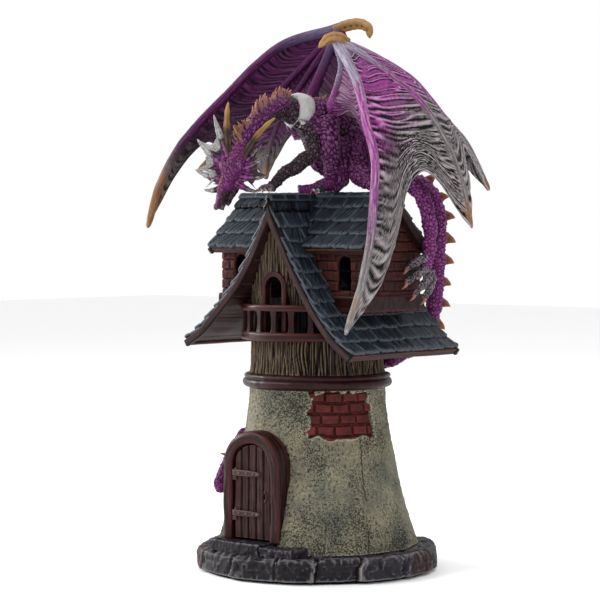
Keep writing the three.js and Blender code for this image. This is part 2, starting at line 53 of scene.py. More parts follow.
def cad(node):
    """Lowest and highest corner of a CAD node in mm."""
    low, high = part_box(node)
    return np.array(low) / MM, np.array(high) / MM


# ---------------------------------------------------------------- noise
def hashed(ix, iy, iz, seed):
    n = (ix * 73856093) ^ (iy * 19349663) ^ (iz * 83492791) ^ (seed * 40503 + 977)
    n = ((n ^ (n >> 13)) * 1274126177) & 0x7FFFFFFF
    return ((n ^ (n >> 15)) & 0xFFFF) / 65535.0


def noise(points, size, seed=0):
    """Smooth noise from -1 to 1 at points (n, 3), with features of about the given size."""
    p = np.asarray(points, float) / size
    base = np.floor(p).astype(np.int64)
    f = p - base
    f = f * f * (3 - 2 * f)
    total = np.zeros(len(p))
    for dx, dy, dz in product((0, 1), repeat=3):
        weight = (
            (f[:, 0] if dx else 1 - f[:, 0])
            * (f[:, 1] if dy else 1 - f[:, 1])
            * (f[:, 2] if dz else 1 - f[:, 2])
        )
        total += weight * hashed(base[:, 0] + dx, base[:, 1] + dy, base[:, 2] + dz, seed)
    return total * 2 - 1


def fbm(points, size, octaves=3, seed=0):
    total, amount = 0, 1.0
    for k in range(octaves):
        total = total + amount * noise(points, size / 2**k, seed + 31 * k)
        amount *= 0.5
    return total / (2 - 2 * 0.5**octaves)


def cells(x, y, seed=0, jitter=0.8):
    """Distances to the two nearest cell centres on a jittered unit grid, and the nearest cell's number."""
    bx, by = np.floor(x).astype(np.int64), np.floor(y).astype(np.int64)
    near = np.full(x.shape, 9.0)
    second = np.full(x.shape, 9.0)
    own = np.zeros(x.shape)
    zero = np.zeros_like(bx)
    for dx, dy in product((-1, 0, 1), repeat=2):
        cx, cy = bx + dx, by + dy
        px = cx + 0.5 + jitter * (hashed(cx, cy, zero, seed) - 0.5) + 0.5 * (cy % 2)
        py = cy + 0.5 + jitter * (hashed(cx, cy, zero + 1, seed) - 0.5)
        d = np.hypot(x - px, y - py)
        closer = d < near
        second = np.where(closer, near, np.minimum(second, d))
        own = np.where(closer, hashed(cx, cy, zero + 2, seed), own)
        near = np.where(closer, d, near)
    return near, second, own


def smoothstep(a, b, x):
    t = np.clip((x - a) / (b - a), 0, 1)
    return t * t * (3 - 2 * t)


# ---------------------------------------------------------------- meshes
def grid_quads(nu, nv, wrap_u=False, wrap_v=False):
    """Quads of a grid whose point (i, j) is number i * nv + j."""
    i = np.arange(nu if wrap_u else nu - 1)
    j = np.arange(nv if wrap_v else nv - 1)
    i, j = np.meshgrid(i, j, indexing="ij")
    i2, j2 = (i + 1) % nu, (j + 1) % nv
    return np.stack([i * nv + j, i2 * nv + j, i2 * nv + j2, i * nv + j2], -1).reshape(-1, 4)


class Sculpt:
    """Gathers vertices and faces, with a tint (own shade) and a fade (place in a gradient) per vertex."""

    def __init__(self):
        self.verts, self.faces, self.rings = [], [], []
        self.tint, self.fade = [], []
        self.count = 0

    def add(self, verts, quads, tint=0.5, fade=0.0, rings=()):
        verts = np.asarray(verts, float).reshape(-1, 3)
        self.verts.append(verts)
        self.faces.append(np.asarray(quads) + self.count)
        self.rings += [np.asarray(ring) + self.count for ring in rings]
        self.tint.append(np.broadcast_to(tint, len(verts)).astype(float))
        self.fade.append(np.broadcast_to(fade, len(verts)).astype(float))
        self.count += len(verts)

    def build(self, name, material, body="tower", nodes=(), detail=0.35, join=False):
        verts = np.concatenate(self.verts)
        quads = np.concatenate(self.faces)
        mesh = bpy.data.meshes.new(name)
        mesh.vertices.add(len(verts))
        mesh.vertices.foreach_set("co", (verts * MM).ravel())
        lengths = [4] * len(quads) + [len(r) for r in self.rings]
        loops = np.concatenate([quads.ravel(), *self.rings]) if self.rings else quads.ravel()
        mesh.loops.add(len(loops))
        mesh.loops.foreach_set("vertex_index", loops.astype(np.int32))
        mesh.polygons.add(len(lengths))
        starts = np.concatenate([[0], np.cumsum(lengths)[:-1]])
        mesh.polygons.foreach_set("loop_start", starts.astype(np.int32))
        mesh.update(calc_edges=True)
        mesh.validate()
        for label, parts in (("tint", self.tint), ("fade", self.fade)):
            put(mesh, label, np.concatenate(parts))
        obj = bpy.data.objects.new(name, mesh)
        bpy.context.scene.collection.objects.link(obj)
        return finish_piece(obj, material, body, nodes, detail, join)


def put(mesh, label, values):
    layer = mesh.attributes.get(label) or mesh.attributes.new(label, "FLOAT", "POINT")
    layer.data.foreach_set("value", np.asarray(values, np.float32))


def positions(mesh):
    co = np.empty(len(mesh.vertices) * 3)
    mesh.vertices.foreach_get("co", co)
    return co.reshape(-1, 3)


def relief(mesh, reach):
    """How far each vertex stands out of (+) or lies in (-) its smoothed surroundings, in mm."""
    co = positions(mesh) / MM
    edges = np.empty(len(mesh.edges) * 2, np.int64)
    mesh.edges.foreach_get("vertices", edges)
    a, b = edges.reshape(-1, 2).T
    size = len(co)
    share = np.maximum(np.bincount(a, minlength=size) + np.bincount(b, minlength=size), 1)[:, None]
    smooth = co.copy()
    for _ in range(reach):
        gathered = np.stack(
            [
                np.bincount(a, smooth[b, k], size) + np.bincount(b, smooth[a, k], size)
                for k in range(3)
            ],
            1,
        )
        smooth = 0.35 * smooth + 0.65 * gathered / share
    normals = np.empty(size * 3)
    mesh.vertices.foreach_get("normal", normals)
    return ((co - smooth) * normals.reshape(-1, 3)).sum(1)


def finish_piece(obj, material, body, nodes, detail, join=False):
    mesh = obj.data
    make_outward(mesh, join)
    mesh.polygons.foreach_set("use_smooth", [True] * len(mesh.polygons))
    fine, broad = relief(mesh, 2), relief(mesh, 9)
    cav = 0.5 * np.clip(fine / (detail * 0.35), -1, 1) + 0.5 * np.clip(broad / detail, -1, 1)
    put(mesh, "cav", cav)
    mesh.materials.clear()
    mesh.materials.append(material)
    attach(obj, body)
    if nodes:
        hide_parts(*nodes)
    return obj


def make_outward(mesh, join):
    bm = bmesh.new()
    bm.from_mesh(mesh)
    if join:
        bmesh.ops.remove_doubles(bm, verts=bm.verts, dist=0.02 * MM)
    bmesh.ops.recalc_face_normals(bm, faces=bm.faces)
    bm.to_mesh(mesh)
    bm.free()


def shell(sculpt, top, under, tint=0.5, fade=0.0, keep=None):
    """Closes a grid of points (nu, nv, 3) with a second grid below it and a skirt all round."""
    nu, nv = top.shape[:2]
    tints = np.broadcast_to(tint, (nu, nv)).ravel()
    fades = np.broadcast_to(fade, (nu, nv)).ravel()
    count = nu * nv
    up = grid_quads(nu, nv)
    if keep is not None:
        up = up[keep.ravel()]
    down = up[:, ::-1] + count
    used = np.concatenate([np.stack([up[:, k], up[:, (k + 1) % 4]], 1) for k in range(4)])
    pairs = {}
    for a, b in used:
        pairs[(a, b)] = True
    rim = np.array([(a, b) for a, b in pairs if (b, a) not in pairs])
    skirt = np.stack([rim[:, 1], rim[:, 0], rim[:, 0] + count, rim[:, 1] + count], 1)
    verts = np.concatenate([top.reshape(-1, 3), under.reshape(-1, 3)])
    sculpt.add(verts, np.concatenate([up, down, skirt]), np.tile(tints, 2), np.tile(fades, 2))


def block(sculpt, low, high, step=0.8, rough=0.25, edge=0.6, grain=None, seed=0, tint=0.5, move=None):
    """A worn block: a dense box with soft, chipped edges and an uneven face."""
    low, high = np.array(low, float), np.array(high, float)
    counts = np.maximum(np.ceil((high - low) / step).astype(int), 2) + 1
    centre, half = (low + high) / 2, (high - low) / 2
    for axis, sign in product(range(3), (-1, 1)):
        u, v = [k for k in range(3) if k != axis]
        gu, gv = np.meshgrid(np.linspace(-1, 1, counts[u]), np.linspace(-1, 1, counts[v]), indexing="ij")
        p = np.zeros((counts[u] * counts[v], 3))
        p[:, axis], p[:, u], p[:, v] = sign, gu.ravel(), gv.ravel()
        spot = p * half
        inner = np.maximum(half - edge, half * 0.2)
        core = np.clip(spot, -inner, inner)
        out = spot - core
        length = np.linalg.norm(out, axis=1, keepdims=True)
        spot = core + out / np.maximum(length, 1e-6) * np.minimum(length, edge)
        world = spot + centre
        stretched = world.copy()
        if grain is not None:
            stretched[:, grain] *= 0.12
        push = rough * fbm(stretched, 2.2, 3, seed)
        world = world + out / np.maximum(length, 1e-6) * push[:, None]
        if move is not None:
            world = move(world)
        sculpt.add(world, grid_quads(counts[u], counts[v]), tint)


# ---------------------------------------------------------------- curves and tubes
def spline(points, count):
    """Catmull-Rom through points (n, k), resampled evenly in its parameter."""
    p = np.asarray(points, float)
    p = np.concatenate([[2 * p[0] - p[1]], p, [2 * p[-1] - p[-2]]])
    t = np.linspace(0, len(p) - 3 - 1e-9, count)
    k = np.floor(t).astype(int)
    f = (t - k)[:, None]
    a, b, c, d = p[k], p[k + 1], p[k + 2], p[k + 3]
    return 0.5 * (2 * b + (c - a) * f + (2 * a - 5 * b + 4 * c - d) * f**2 + (3 * b - a - 3 * c + d) * f**3)


def frames_along(path, up=(0, 0, 1)):
    """Tangent, side and top directions along a path, turned as little as possible."""
    tangent = np.gradient(path, axis=0)
    tangent /= np.linalg.norm(tangent, axis=1, keepdims=True)
    side = np.zeros_like(path)
    side[0] = np.cross(tangent[0], up)
    if np.linalg.norm(side[0]) < 0.1:
        side[0] = np.cross(tangent[0], (0, 1, 0))
    for k in range(len(path)):
        s = side[max(k - 1, 0)]
        s = s - tangent[k] * s.dot(tangent[k])
        side[k] = s / np.linalg.norm(s)
    return tangent, side, np.cross(side, tangent)


def tube(sculpt, path, radius, around=24, height=None, flat=1.0, tint=0.5, fade=0.0, up=(0, 0, 1)):
    """A closed limb along a path (n, 3) with a radius per point; height(s, angle, r) gives extra relief."""
    path = np.asarray(path, float)
    count = len(path)
    radius = np.broadcast_to(radius, count).astype(float)
    _, side, top = frames_along(path, up)
    angle = np.arange(around) / around * TAU
    s = np.concatenate([[0], np.cumsum(np.linalg.norm(np.diff(path, axis=0), axis=1))])
    S, A = np.meshgrid(s, angle, indexing="ij")
    R = np.repeat(radius[:, None], around, 1)
    if height is not None:
        R = R + height(S, A, R)
    verts = (
        path[:, None]
        + side[:, None] * (R * np.cos(A))[..., None]
        + top[:, None] * (R * flat * np.sin(A))[..., None]
    )
    tints = np.broadcast_to(tint, (count, around)) if np.ndim(tint) else np.full((count, around), tint)
    fades = np.broadcast_to(fade, (count, around)) if np.ndim(fade) else np.full((count, around), fade)
    rings = [np.arange(around)[::-1], (count - 1) * around + np.arange(around)]
    sculpt.add(verts, grid_quads(count, around, wrap_v=True), tints.ravel(), fades.ravel(), rings=rings)


def spike(
    sculpt, root, tip, radius, bend=(0, 0, 0), flat=1.0, around=10, tint=0.5, fade=0.0, up=(0, 0, 1),
    rings=9, fade_tip=1.0,
):
    """A curved horn, claw or spine from root to tip."""
    root, tip = np.array(root, float), np.array(tip, float)
    t = np.linspace(0, 1, rings)[:, None]
    path = root + (tip - root) * t + np.array(bend, float) * (4 * t * (1 - t))
    size = radius * (1 - t[:, 0]) ** 0.8 + 0.12
    rib = lambda s, a, r: 0.07 * r * np.sin(s * 5) + 0.05 * r * np.sin(3 * a)
    tube(
        sculpt, path, size, around, rib, flat, tint,
        (fade + (fade_tip - fade) * t[:, :1]) * np.ones(around), up,
    )


# ---------------------------------------------------------------- paint
def node(tree, kind, **settings):
    made = tree.nodes.new(kind)
    for key, value in settings.items():
        setattr(made, key, value)
    return made


def ramp(tree, source, stops):
    made = node(tree, "ShaderNodeValToRGB")
    elements = made.color_ramp.elements
    while len(elements) < len(stops):
        elements.new(0.5)
    for element, (place, value) in zip(elements, stops):
        element.position = place
        element.color = (*value, 1) if np.ndim(value) else (value, value, value, 1)
    tree.links.new(source, made.inputs[0])
    return made.outputs[0]


def mix(tree, factor, a, b, blend="MIX"):
    made = node(tree, "ShaderNodeMix", data_type="RGBA", blend_type=blend)
    for socket, value in ((made.inputs[0], factor), (made.inputs[6], a), (made.inputs[7], b)):
        if hasattr(value, "is_linked"):
            tree.links.new(value, socket)
        elif np.ndim(value):
            socket.default_value = (*value, 1)
        else:
            socket.default_value = value
    return made.outputs[2]


def math_node(tree, kind, a, b=0.0, clamp=False):
    made = node(tree, "ShaderNodeMath", operation=kind, use_clamp=clamp)
    for socket, value in ((made.inputs[0], a), (made.inputs[1], b)):
        if hasattr(value, "is_linked"):
            tree.links.new(value, socket)
        else:
            socket.default_value = value
    return made.outputs[0]


def noise_node(tree, coords, size, detail=4.0, rough=0.6):
    place = node(tree, "ShaderNodeMapping")
    place.inputs["Scale"].default_value = [1 / (size * MM)] * 3
    tree.links.new(coords, place.inputs[0])
    made = node(tree, "ShaderNodeTexNoise")
    made.inputs["Scale"].default_value = 1.0
    made.inputs["Detail"].default_value = detail
    made.inputs["Roughness"].default_value = rough
    tree.links.new(place.outputs[0], made.inputs["Vector"])
    return made.outputs["Fac"]


def paint(name, base, second, dark, light, wash=0.9, brush=0.6, rough=0.5, gloss=0.0,
          speck=None, fade=None, size=6.0, bump=0.12):
    """Miniature paint: a mottled base coat, a dark wash in the hollows and a pale dry brush on the ridges.

    fade is a list of (place, colour) that the fade attribute runs through, in place of the base coat."""
    material = bpy.data.materials.new(name)
    material.use_nodes = True
    tree = material.node_tree
    shader = tree.nodes["Principled BSDF"]
    shader.inputs["Specular IOR Level"].default_value = 0.12
    coords = node(tree, "ShaderNodeTexCoord").outputs["Object"]
    cav = node(tree, "ShaderNodeAttribute", attribute_name="cav").outputs["Fac"]
    tint = node(tree, "ShaderNodeAttribute", attribute_name="tint").outputs["Fac"]
    broad = noise_node(tree, coords, size, 5)
    fine = noise_node(tree, coords, size * 0.14, 6, rough=0.7)
    blotch = ramp(tree, broad, [(0.35, 0.0), (0.65, 1.0)])
    if fade is None:
        coat = mix(tree, blotch, base, second)
    else:
        place = node(tree, "ShaderNodeAttribute", attribute_name="fade").outputs["Fac"]
        wander = math_node(tree, "MULTIPLY_ADD", fine, 0.25)
        wander.node.inputs[2].default_value = -0.125
        place = math_node(tree, "ADD", place, wander, True)
        coat = ramp(tree, place, fade)
        coat = mix(tree, math_node(tree, "MULTIPLY", blotch, 0.3), coat, second)
    shade = math_node(tree, "MULTIPLY_ADD", tint, 0.9)
    shade.node.inputs[2].default_value = 0.55
    coat = mix(tree, 1.0, coat, ramp_gray(tree, shade), "MULTIPLY")
    uneven = math_node(tree, "MULTIPLY_ADD", fine, 0.9)
    uneven.node.inputs[2].default_value = -0.45
    level = math_node(tree, "ADD", cav, uneven)
    # hollow drives the dark wash: real dark paint in the recesses, plus painted shade where a piece's cav is
    # pushed down, as on the drum's gallery wall.
    hollow = ramp(tree, math_node(tree, "MULTIPLY", level, -1.0), [(0.0, 0.0), (0.55, 1.0)])
    raised = ramp(tree, level, [(0.22, 0.0), (0.8, 1.0)])
    colour = mix(tree, math_node(tree, "MULTIPLY", hollow, wash), coat, dark)
    if fade is not None:
        light = mix(tree, 1.0, coat, light, "SCREEN")
    colour = mix(tree, math_node(tree, "MULTIPLY", raised, brush), colour, light)
    if speck:
        dots = noise_node(tree, coords, speck[1], 3)
        zone = math_node(tree, "MULTIPLY_ADD", noise_node(tree, coords, 26, 2), 0.5)
        zone.node.inputs[2].default_value = -0.25
        dots = math_node(tree, "ADD", dots, zone)
        colour = mix(tree, ramp(tree, dots, [(speck[2], 0.0), (speck[2] + 0.05, 0.85)]), colour, speck[0])
    tree.links.new(colour, shader.inputs["Base Color"])
    sheen = math_node(tree, "MULTIPLY_ADD", fine, 0.35)
    sheen.node.inputs[2].default_value = rough - 0.17
    tree.links.new(
        math_node(tree, "ADD", sheen, math_node(tree, "MULTIPLY", raised, 0.12), True),
        shader.inputs["Roughness"],
    )
    if gloss:
        shader.inputs["Coat Weight"].default_value = gloss
        shader.inputs["Coat Roughness"].default_value = 0.25
    lumps = node(tree, "ShaderNodeBump")
    lumps.inputs["Strength"].default_value = 0.5
    lumps.inputs["Distance"].default_value = bump * MM
    tree.links.new(fine, lumps.inputs["Height"])
    tree.links.new(lumps.outputs[0], shader.inputs["Normal"])
    return material


def ramp_gray(tree, value):
    made = node(tree, "ShaderNodeCombineColor")
    for k in range(3):
        tree.links.new(value, made.inputs[k])
    return made.outputs[0]


def srgb(*levels):
    """A paint colour from 0..255 levels, darkened so that the bright studio brings it back to them."""
    return tuple(DEPTH * (v / 3294.6 if v < 10.3 else ((v / 255 + 0.055) / 1.055) ** 2.4) for v in levels)


DEPTH = 0.72


PLASTER = paint(
    "plaster", srgb(142, 136, 114), srgb(98, 98, 88), srgb(30, 30, 27), srgb(190, 184, 160), 0.72, 0.45,
    0.75, speck=(srgb(24, 24, 21), 0.75, 0.525), size=20, bump=0.3,
)
STONE = paint(
    "stone", srgb(50, 45, 52), srgb(30, 24, 30), srgb(5, 4, 6), srgb(120, 118, 122), 0.95, 0.75, 0.5,
    size=6,
    fade=[
        (0.0, srgb(36, 31, 38)), (0.3, srgb(46, 41, 48)), (0.5, srgb(56, 34, 34)), (0.62, srgb(50, 45, 50)),
        (1.0, srgb(124, 120, 116)),
    ],
)
TIMBER = paint(
    "red_timber", srgb(46, 12, 13), srgb(28, 8, 9), srgb(3, 1, 1), srgb(98, 48, 43), 0.97, 0.34, 0.4, 0.06
)
PLANK = paint(
    "door_planks", srgb(64, 42, 40), srgb(46, 28, 27), srgb(3, 2, 2), srgb(112, 84, 76), 0.98, 0.5, 0.5
)
VERGE = paint(
    "verge_timber", srgb(62, 36, 34), srgb(44, 26, 27), srgb(9, 5, 5), srgb(132, 90, 74), 0.9, 0.55, 0.5
)
CARVED = paint(
    "carved_timber", srgb(54, 40, 35), srgb(34, 24, 22), srgb(3, 2, 2), srgb(128, 110, 86), 0.99, 0.72, 0.6
)
BRICK = paint(
    "brick", srgb(98, 38, 36), srgb(66, 26, 25), srgb(4, 2, 2), srgb(150, 76, 68), 0.98, 0.45, 0.6, size=5
)
DIM_BRICK = paint(
    "bay_brick", srgb(70, 31, 29), srgb(50, 21, 21), srgb(6, 3, 3), srgb(110, 60, 50), 0.9, 0.4, 0.6, size=5
)
SLATE = paint(
    "slate", srgb(46, 54, 63), srgb(30, 35, 43), srgb(3, 3, 5), srgb(104, 112, 120), 0.97, 0.42, 0.48, 0.05,
    size=8,
)
IRON = paint(
    "strap_paint", srgb(64, 46, 43), srgb(48, 33, 31), srgb(6, 4, 4), srgb(116, 92, 82), 0.9, 0.5, 0.45,
    0.06,
)
FELT = paint(
    "felt", srgb(28, 28, 31), srgb(20, 20, 22), srgb(8, 8, 9), srgb(60, 60, 64), 0.5, 0.3, 0.85, size=2
)
RESIN = paint(
    "bare_resin", srgb(40, 34, 32), srgb(30, 26, 25), srgb(10, 8, 8), srgb(70, 62, 58), 0.8, 0.4, 0.6
)

# ---------------------------------------------------------------- base, tower wall and brick patch
WALL_LOW, WALL_HIGH = cad("tower_wall")
FOOT_R, TOP_R = WALL_HIGH[0], 0.682 * WALL_HIGH[0]
FOOT_Z, TOP_Z = WALL_LOW[2], WALL_HIGH[2]
PATCH_FROM, PATCH_TO = -59.0, 2.0
PATCH_LOW, PATCH_HIGH = cad("brick_patch")


def wall_radius(z):
    t = np.clip((z - FOOT_Z) / (TOP_Z - FOOT_Z), 0, 1)
    return TOP_R + (FOOT_R - TOP_R) * (1 - t) ** 1.45


def patch_inside(theta, z):
    """1 where the plaster has fallen off, 0 where it is whole, with a ragged edge."""
    degrees = (np.degrees(theta) + 180) % 360 - 180
    r = wall_radius(z)
    across = np.minimum(degrees - PATCH_FROM, PATCH_TO - degrees) * np.pi / 180 * r
    up = np.minimum(z - PATCH_LOW[2], PATCH_HIGH[2] + 2 - z)
    spot = np.stack([r * theta, z, 0 * z], -1).reshape(-1, 3)
    ragged = (1.9 * noise(spot, 8, 21) + 1.5 * noise(spot, 2.8, 22)).reshape(z.shape)
    return smoothstep(-0.3, 0.3, np.minimum(across, up) - 1.1 + np.minimum(ragged, 1.0))


def crack_depth(theta, z):
    degrees = (np.degrees(theta) + 180) % 360 - 180
    line = -13 - 7 * (PATCH_LOW[2] - z) / 50
    spot = np.stack([0 * z, 0 * z, z], -1).reshape(-1, 3)
    line = line + (1.6 * noise(spot, 9, 41) + 0.7 * noise(spot, 2.5, 42)).reshape(z.shape)
    off = np.abs(degrees - line) * np.pi / 180 * wall_radius(z)
    narrow = 0.6 * (1 - smoothstep(0.1, 0.6, off)) * (noise(spot, 7, 43).reshape(z.shape) > -0.2)
    return (narrow + 0.9 * np.exp(-((off / 2.2) ** 2))) * (z < PATCH_LOW[2] + 2)


def in_arch(x, z, centre, half, sill, spring):
    box_part = (np.abs(x - centre) < half) & (z > sill) & (z <= spring)
    return box_part | ((z > spring) & (np.hypot(x - centre, z - spring) < half))


def arch_of(node, jamb):
    """Centre, inner half width, sill and spring heights of an arched frame, from its CAD box."""
    low, high = cad(node)
    outer = (high[0] - low[0]) / 2
    return (low[0] + high[0]) / 2, outer - jamb, low[2], high[2] - outer


def quad_centres(points, quads):
    return points.reshape(-1, 3)[quads].mean(1)


def stone_base():
    """The ring of broken stones that the tower stands on."""
    low, high = cad("stone_base")
    reach = (high[0] - low[0]) / 2 - 1.2
    bottom, top = low[2], high[2]
    turns = 560
    theta = np.arange(turns) / turns * TAU
    side = (
        [(0.90, 0.0), (0.975, 0.0)]
        + [(0.99 + 0.008 * math.sin(k / 22 * math.pi), k / 22) for k in range(1, 22)]
    )
    lid = [(0.985 - 0.012 * k, 1.0) for k in range(1, 22)] + [(0.6, 1.0)]
    profile = np.array(side + lid)
    stones = np.sort((np.arange(15) + rng.uniform(-0.3, 0.3, 15)) / 15 * TAU)
    T, K = np.meshgrid(theta, np.arange(len(profile)), indexing="ij")
    radial, up = profile[K, 0], profile[K, 1]
    wobble = (
        noise(np.stack([up.ravel() * 3, T.ravel() * 9, 0 * T.ravel()], 1), 1.4, 5).reshape(T.shape)
        * 0.03
    )
    gap = np.abs((T[..., None] + wobble[..., None] - stones + np.pi) % TAU - np.pi)
    nearest = gap.argmin(-1)
    joint = 1 - smoothstep(0.4, 1.9, gap.min(-1) * reach)
    which = np.searchsorted(stones, (T + wobble) % TAU) % len(stones)
    jut = rng.uniform(-2.2, 1.5, len(stones))[which]
    lean = rng.uniform(-0.9, 0.9, len(stones))[which]
    tone = rng.uniform(0.2, 0.8, len(stones))[which]
    hue = np.where(rng.uniform(0, 1, len(stones)) > 0.75, 0.48, rng.uniform(0.0, 0.3, len(stones)))[which]
    ring = 1 - smoothstep(0.3, 1.3, np.abs(radial * reach - (0.86 * reach + 1.2 * np.sin(5 * T + nearest))))
    R = reach * radial
    outer = smoothstep(0.84, 0.93, radial)
    P = np.stack([R * np.cos(T), R * np.sin(T), bottom + (top - bottom) * up], -1)
    flat = P.reshape(-1, 3)
    chips = np.maximum(noise(flat, 5.5, 55) - 0.15, 0) * 2.2
    rough = (
        1.1 * fbm(flat, 8, 4, 51) + 0.5 * (1 - 2 * np.abs(noise(flat, 2.6, 53))) - chips
    ).reshape(T.shape)
    out = outer * (
        jut + lean * (up - 0.5) + rough - 1.0 * joint - 1.5 * smoothstep(0.82, 1.0, up) * (radial > 0.95)
    )
    lift = (up > 0.9) * (0.5 * rough - 0.9 * joint * outer - 0.8 * ring + 0.25 * lean)
    lift = np.where(up > 0.9, lift, 0)
    P[..., 0] += out * np.cos(T)
    P[..., 1] += out * np.sin(T)
    P[..., 2] = np.maximum(P[..., 2] + lift, bottom)
    made = Sculpt()
    last = len(profile) - 1
    rings = [np.arange(turns) * (last + 1), (np.arange(turns) * (last + 1) + last)[::-1]]
    made.add(
        P, grid_quads(turns, last + 1, wrap_u=True), np.clip(tone, 0, 1).ravel(),
        (hue + (0.95 - hue) * joint**2 * (up < 0.97)).ravel(), rings=rings,
    )
    made.build("stone_base", STONE, nodes=["stone_base"], detail=0.8)


def doorstep():
    """Two rough slabs in front of the door."""
    low, high = cad("doorstep")
    made = Sculpt()
    split = low[0] + 0.64 * (high[0] - low[0])
    bow = lambda p: (
        p
        + np.stack([0 * p[:, 0], 2.6 * ((p[:, 0] - split) / 30) ** 2 * (p[:, 1] < -50), 0 * p[:, 0]], 1)
    )
    block(
        made, [low[0], low[1] + 0.8, low[2] - 0.6], [split, low[1] + 17, high[2] - 0.2], 0.5, 0.6, 0.5,
        seed=61, tint=0.3, move=bow,
    )
    block(
        made, [split + 0.2, low[1] + 2.0, low[2] - 0.6], [high[0], low[1] + 17, high[2] - 1.4], 0.5, 0.8,
        0.8, seed=67, tint=0.7, move=bow,
    )
    made.build("doorstep", STONE, nodes=["doorstep"], detail=0.6, join=True)


def tower_wall():
    """The flared plaster wall, hollow, with the doorway cut out."""
    turns, rows, inner_rows = 500, 188, 8
    theta = np.arange(turns) / turns * TAU
    z = np.concatenate([np.linspace(FOOT_Z, TOP_Z, rows), np.linspace(TOP_Z, FOOT_Z, inner_rows)])
    inner = np.arange(len(z)) >= rows
    T, Z = np.meshgrid(theta, z, indexing="ij")
    R = wall_radius(Z) - 4.3 * inner
    spot = np.stack([R * np.cos(T), R * np.sin(T), Z], -1).reshape(-1, 3)
    fallen = patch_inside(T, Z)
    stipple = (
        0.34 * fbm(spot, 1.7, 3, 71)
        + 0.3 * np.maximum(noise(spot, 1.3, 73), 0)
        - 0.7 * np.maximum(noise(spot, 2.2, 75) - 0.45, 0)
    )
    broad = 1.0 * fbm(spot, 19, 2, 77)
    height = (stipple + broad).reshape(T.shape) * (1 - fallen) - 2.6 * fallen - 0.7 * crack_depth(T, Z)
    height += (
        0.5 * (4 * fallen * (1 - fallen))
        + 0.9 * (1 - smoothstep(0, 5, Z - FOOT_Z)) * np.sin(7 * T + 2 * np.sin(3 * T))
    )
    R = R + np.where(inner, 0, height)
    P = np.stack([R * np.cos(T), R * np.sin(T), Z], -1)
    quads = grid_quads(turns, len(z), wrap_u=True, wrap_v=True)
    centre, half, _, spring = arch_of("door_frame", 0)
    mid = quad_centres(P, quads)
    open_way = in_arch(mid[:, 0], mid[:, 2], centre, half - 1.2, -9, spring) & (mid[:, 1] < 0)
    tint = 0.5 + 0.22 * noise(spot, 22, 79) - 0.2 * fallen.ravel()
    made = Sculpt()
    made.add(P, quads[~open_way], tint)
    made.build("tower_wall", PLASTER, nodes=["tower_wall"], detail=0.4)


def brick_height(a, z, length, course, seed, joint=0.42):
    """Height of a brick face (0 in the joints, about 1 on a brick) and a number per brick."""
    row = np.floor(z / course)
    shifted = a / length + 0.5 * (row % 2) + 0.13 * np.sin(row * 2.3)
    col = np.floor(shifted)
    u = (shifted - col - 0.5) * length
    v = (z / course - row - 0.5) * course
    own = hashed(col.astype(np.int64), row.astype(np.int64), np.zeros(a.shape, np.int64), seed)
    edge = np.minimum(length / 2 - np.abs(u), course / 2 - np.abs(v))
    return smoothstep(joint * 0.6, joint * 2.2, edge) * (0.75 + 0.4 * own), own


def brick_patch():
    """Bricks showing where the plaster has fallen off."""
    turns, rows = 190, 110
    theta = np.radians(np.linspace(PATCH_FROM - 2, PATCH_TO + 2, turns))
    z = np.linspace(PATCH_LOW[2] - 1.5, PATCH_HIGH[2] + 0.6, rows)
    T, Z = np.meshgrid(theta, z, indexing="ij")
    base = wall_radius(Z)
    spot = np.stack([base * T, Z, 0 * Z], -1).reshape(-1, 3)
    wander = 0.35 * noise(spot, 6, 83).reshape(T.shape)
    face, own = brick_height(40 * T + wander, Z + wander, 10.5, 5.4, 81, 0.5)
    R = base - 2.1 + 1.5 * face + 0.22 * fbm(spot, 2, 3, 85).reshape(T.shape) * face
    top = np.stack([R * np.cos(T), R * np.sin(T), Z], -1)
    low = base - 3.4
    made = Sculpt()
    shell(made, top, np.stack([low * np.cos(T), low * np.sin(T), Z], -1), 0.3 + 0.5 * own)
    made.build("brick_patch", BRICK, nodes=["brick_patch"], detail=0.6)


# ---------------------------------------------------------------- arches, door and its fittings
def section(width, depth, corner, step=0.5):
    """A rounded rectangle from (0, 0) to (width, depth), as a closed loop of points with outward normals."""
    points, normals = [], []
    corners = [
        (width - corner, corner, -90), (width - corner, depth - corner, 0), (corner, depth - corner, 90),
        (corner, corner, 180),
    ]
    for k, (a, b, start) in enumerate(corners):
        for turn in (0, 30, 60, 90):
            angle = math.radians(start + turn)
            normals.append((math.cos(angle), math.sin(angle)))
            points.append((a + corner * math.cos(angle), b + corner * math.sin(angle)))
        length = (depth if k % 2 == 0 else width) - 2 * corner
        angle = math.radians(start + 90)
        tangent = (-math.sin(angle), math.cos(angle))
        cuts = max(int(length / step), 1)
        for cut in range(1, cuts):
            spot = points[-1 if cut == 1 else -1]
            points.append((spot[0] + tangent[0] * length / cuts, spot[1] + tangent[1] * length / cuts))
            normals.append((math.cos(angle), math.sin(angle)))
    return np.array(points), np.array(normals)


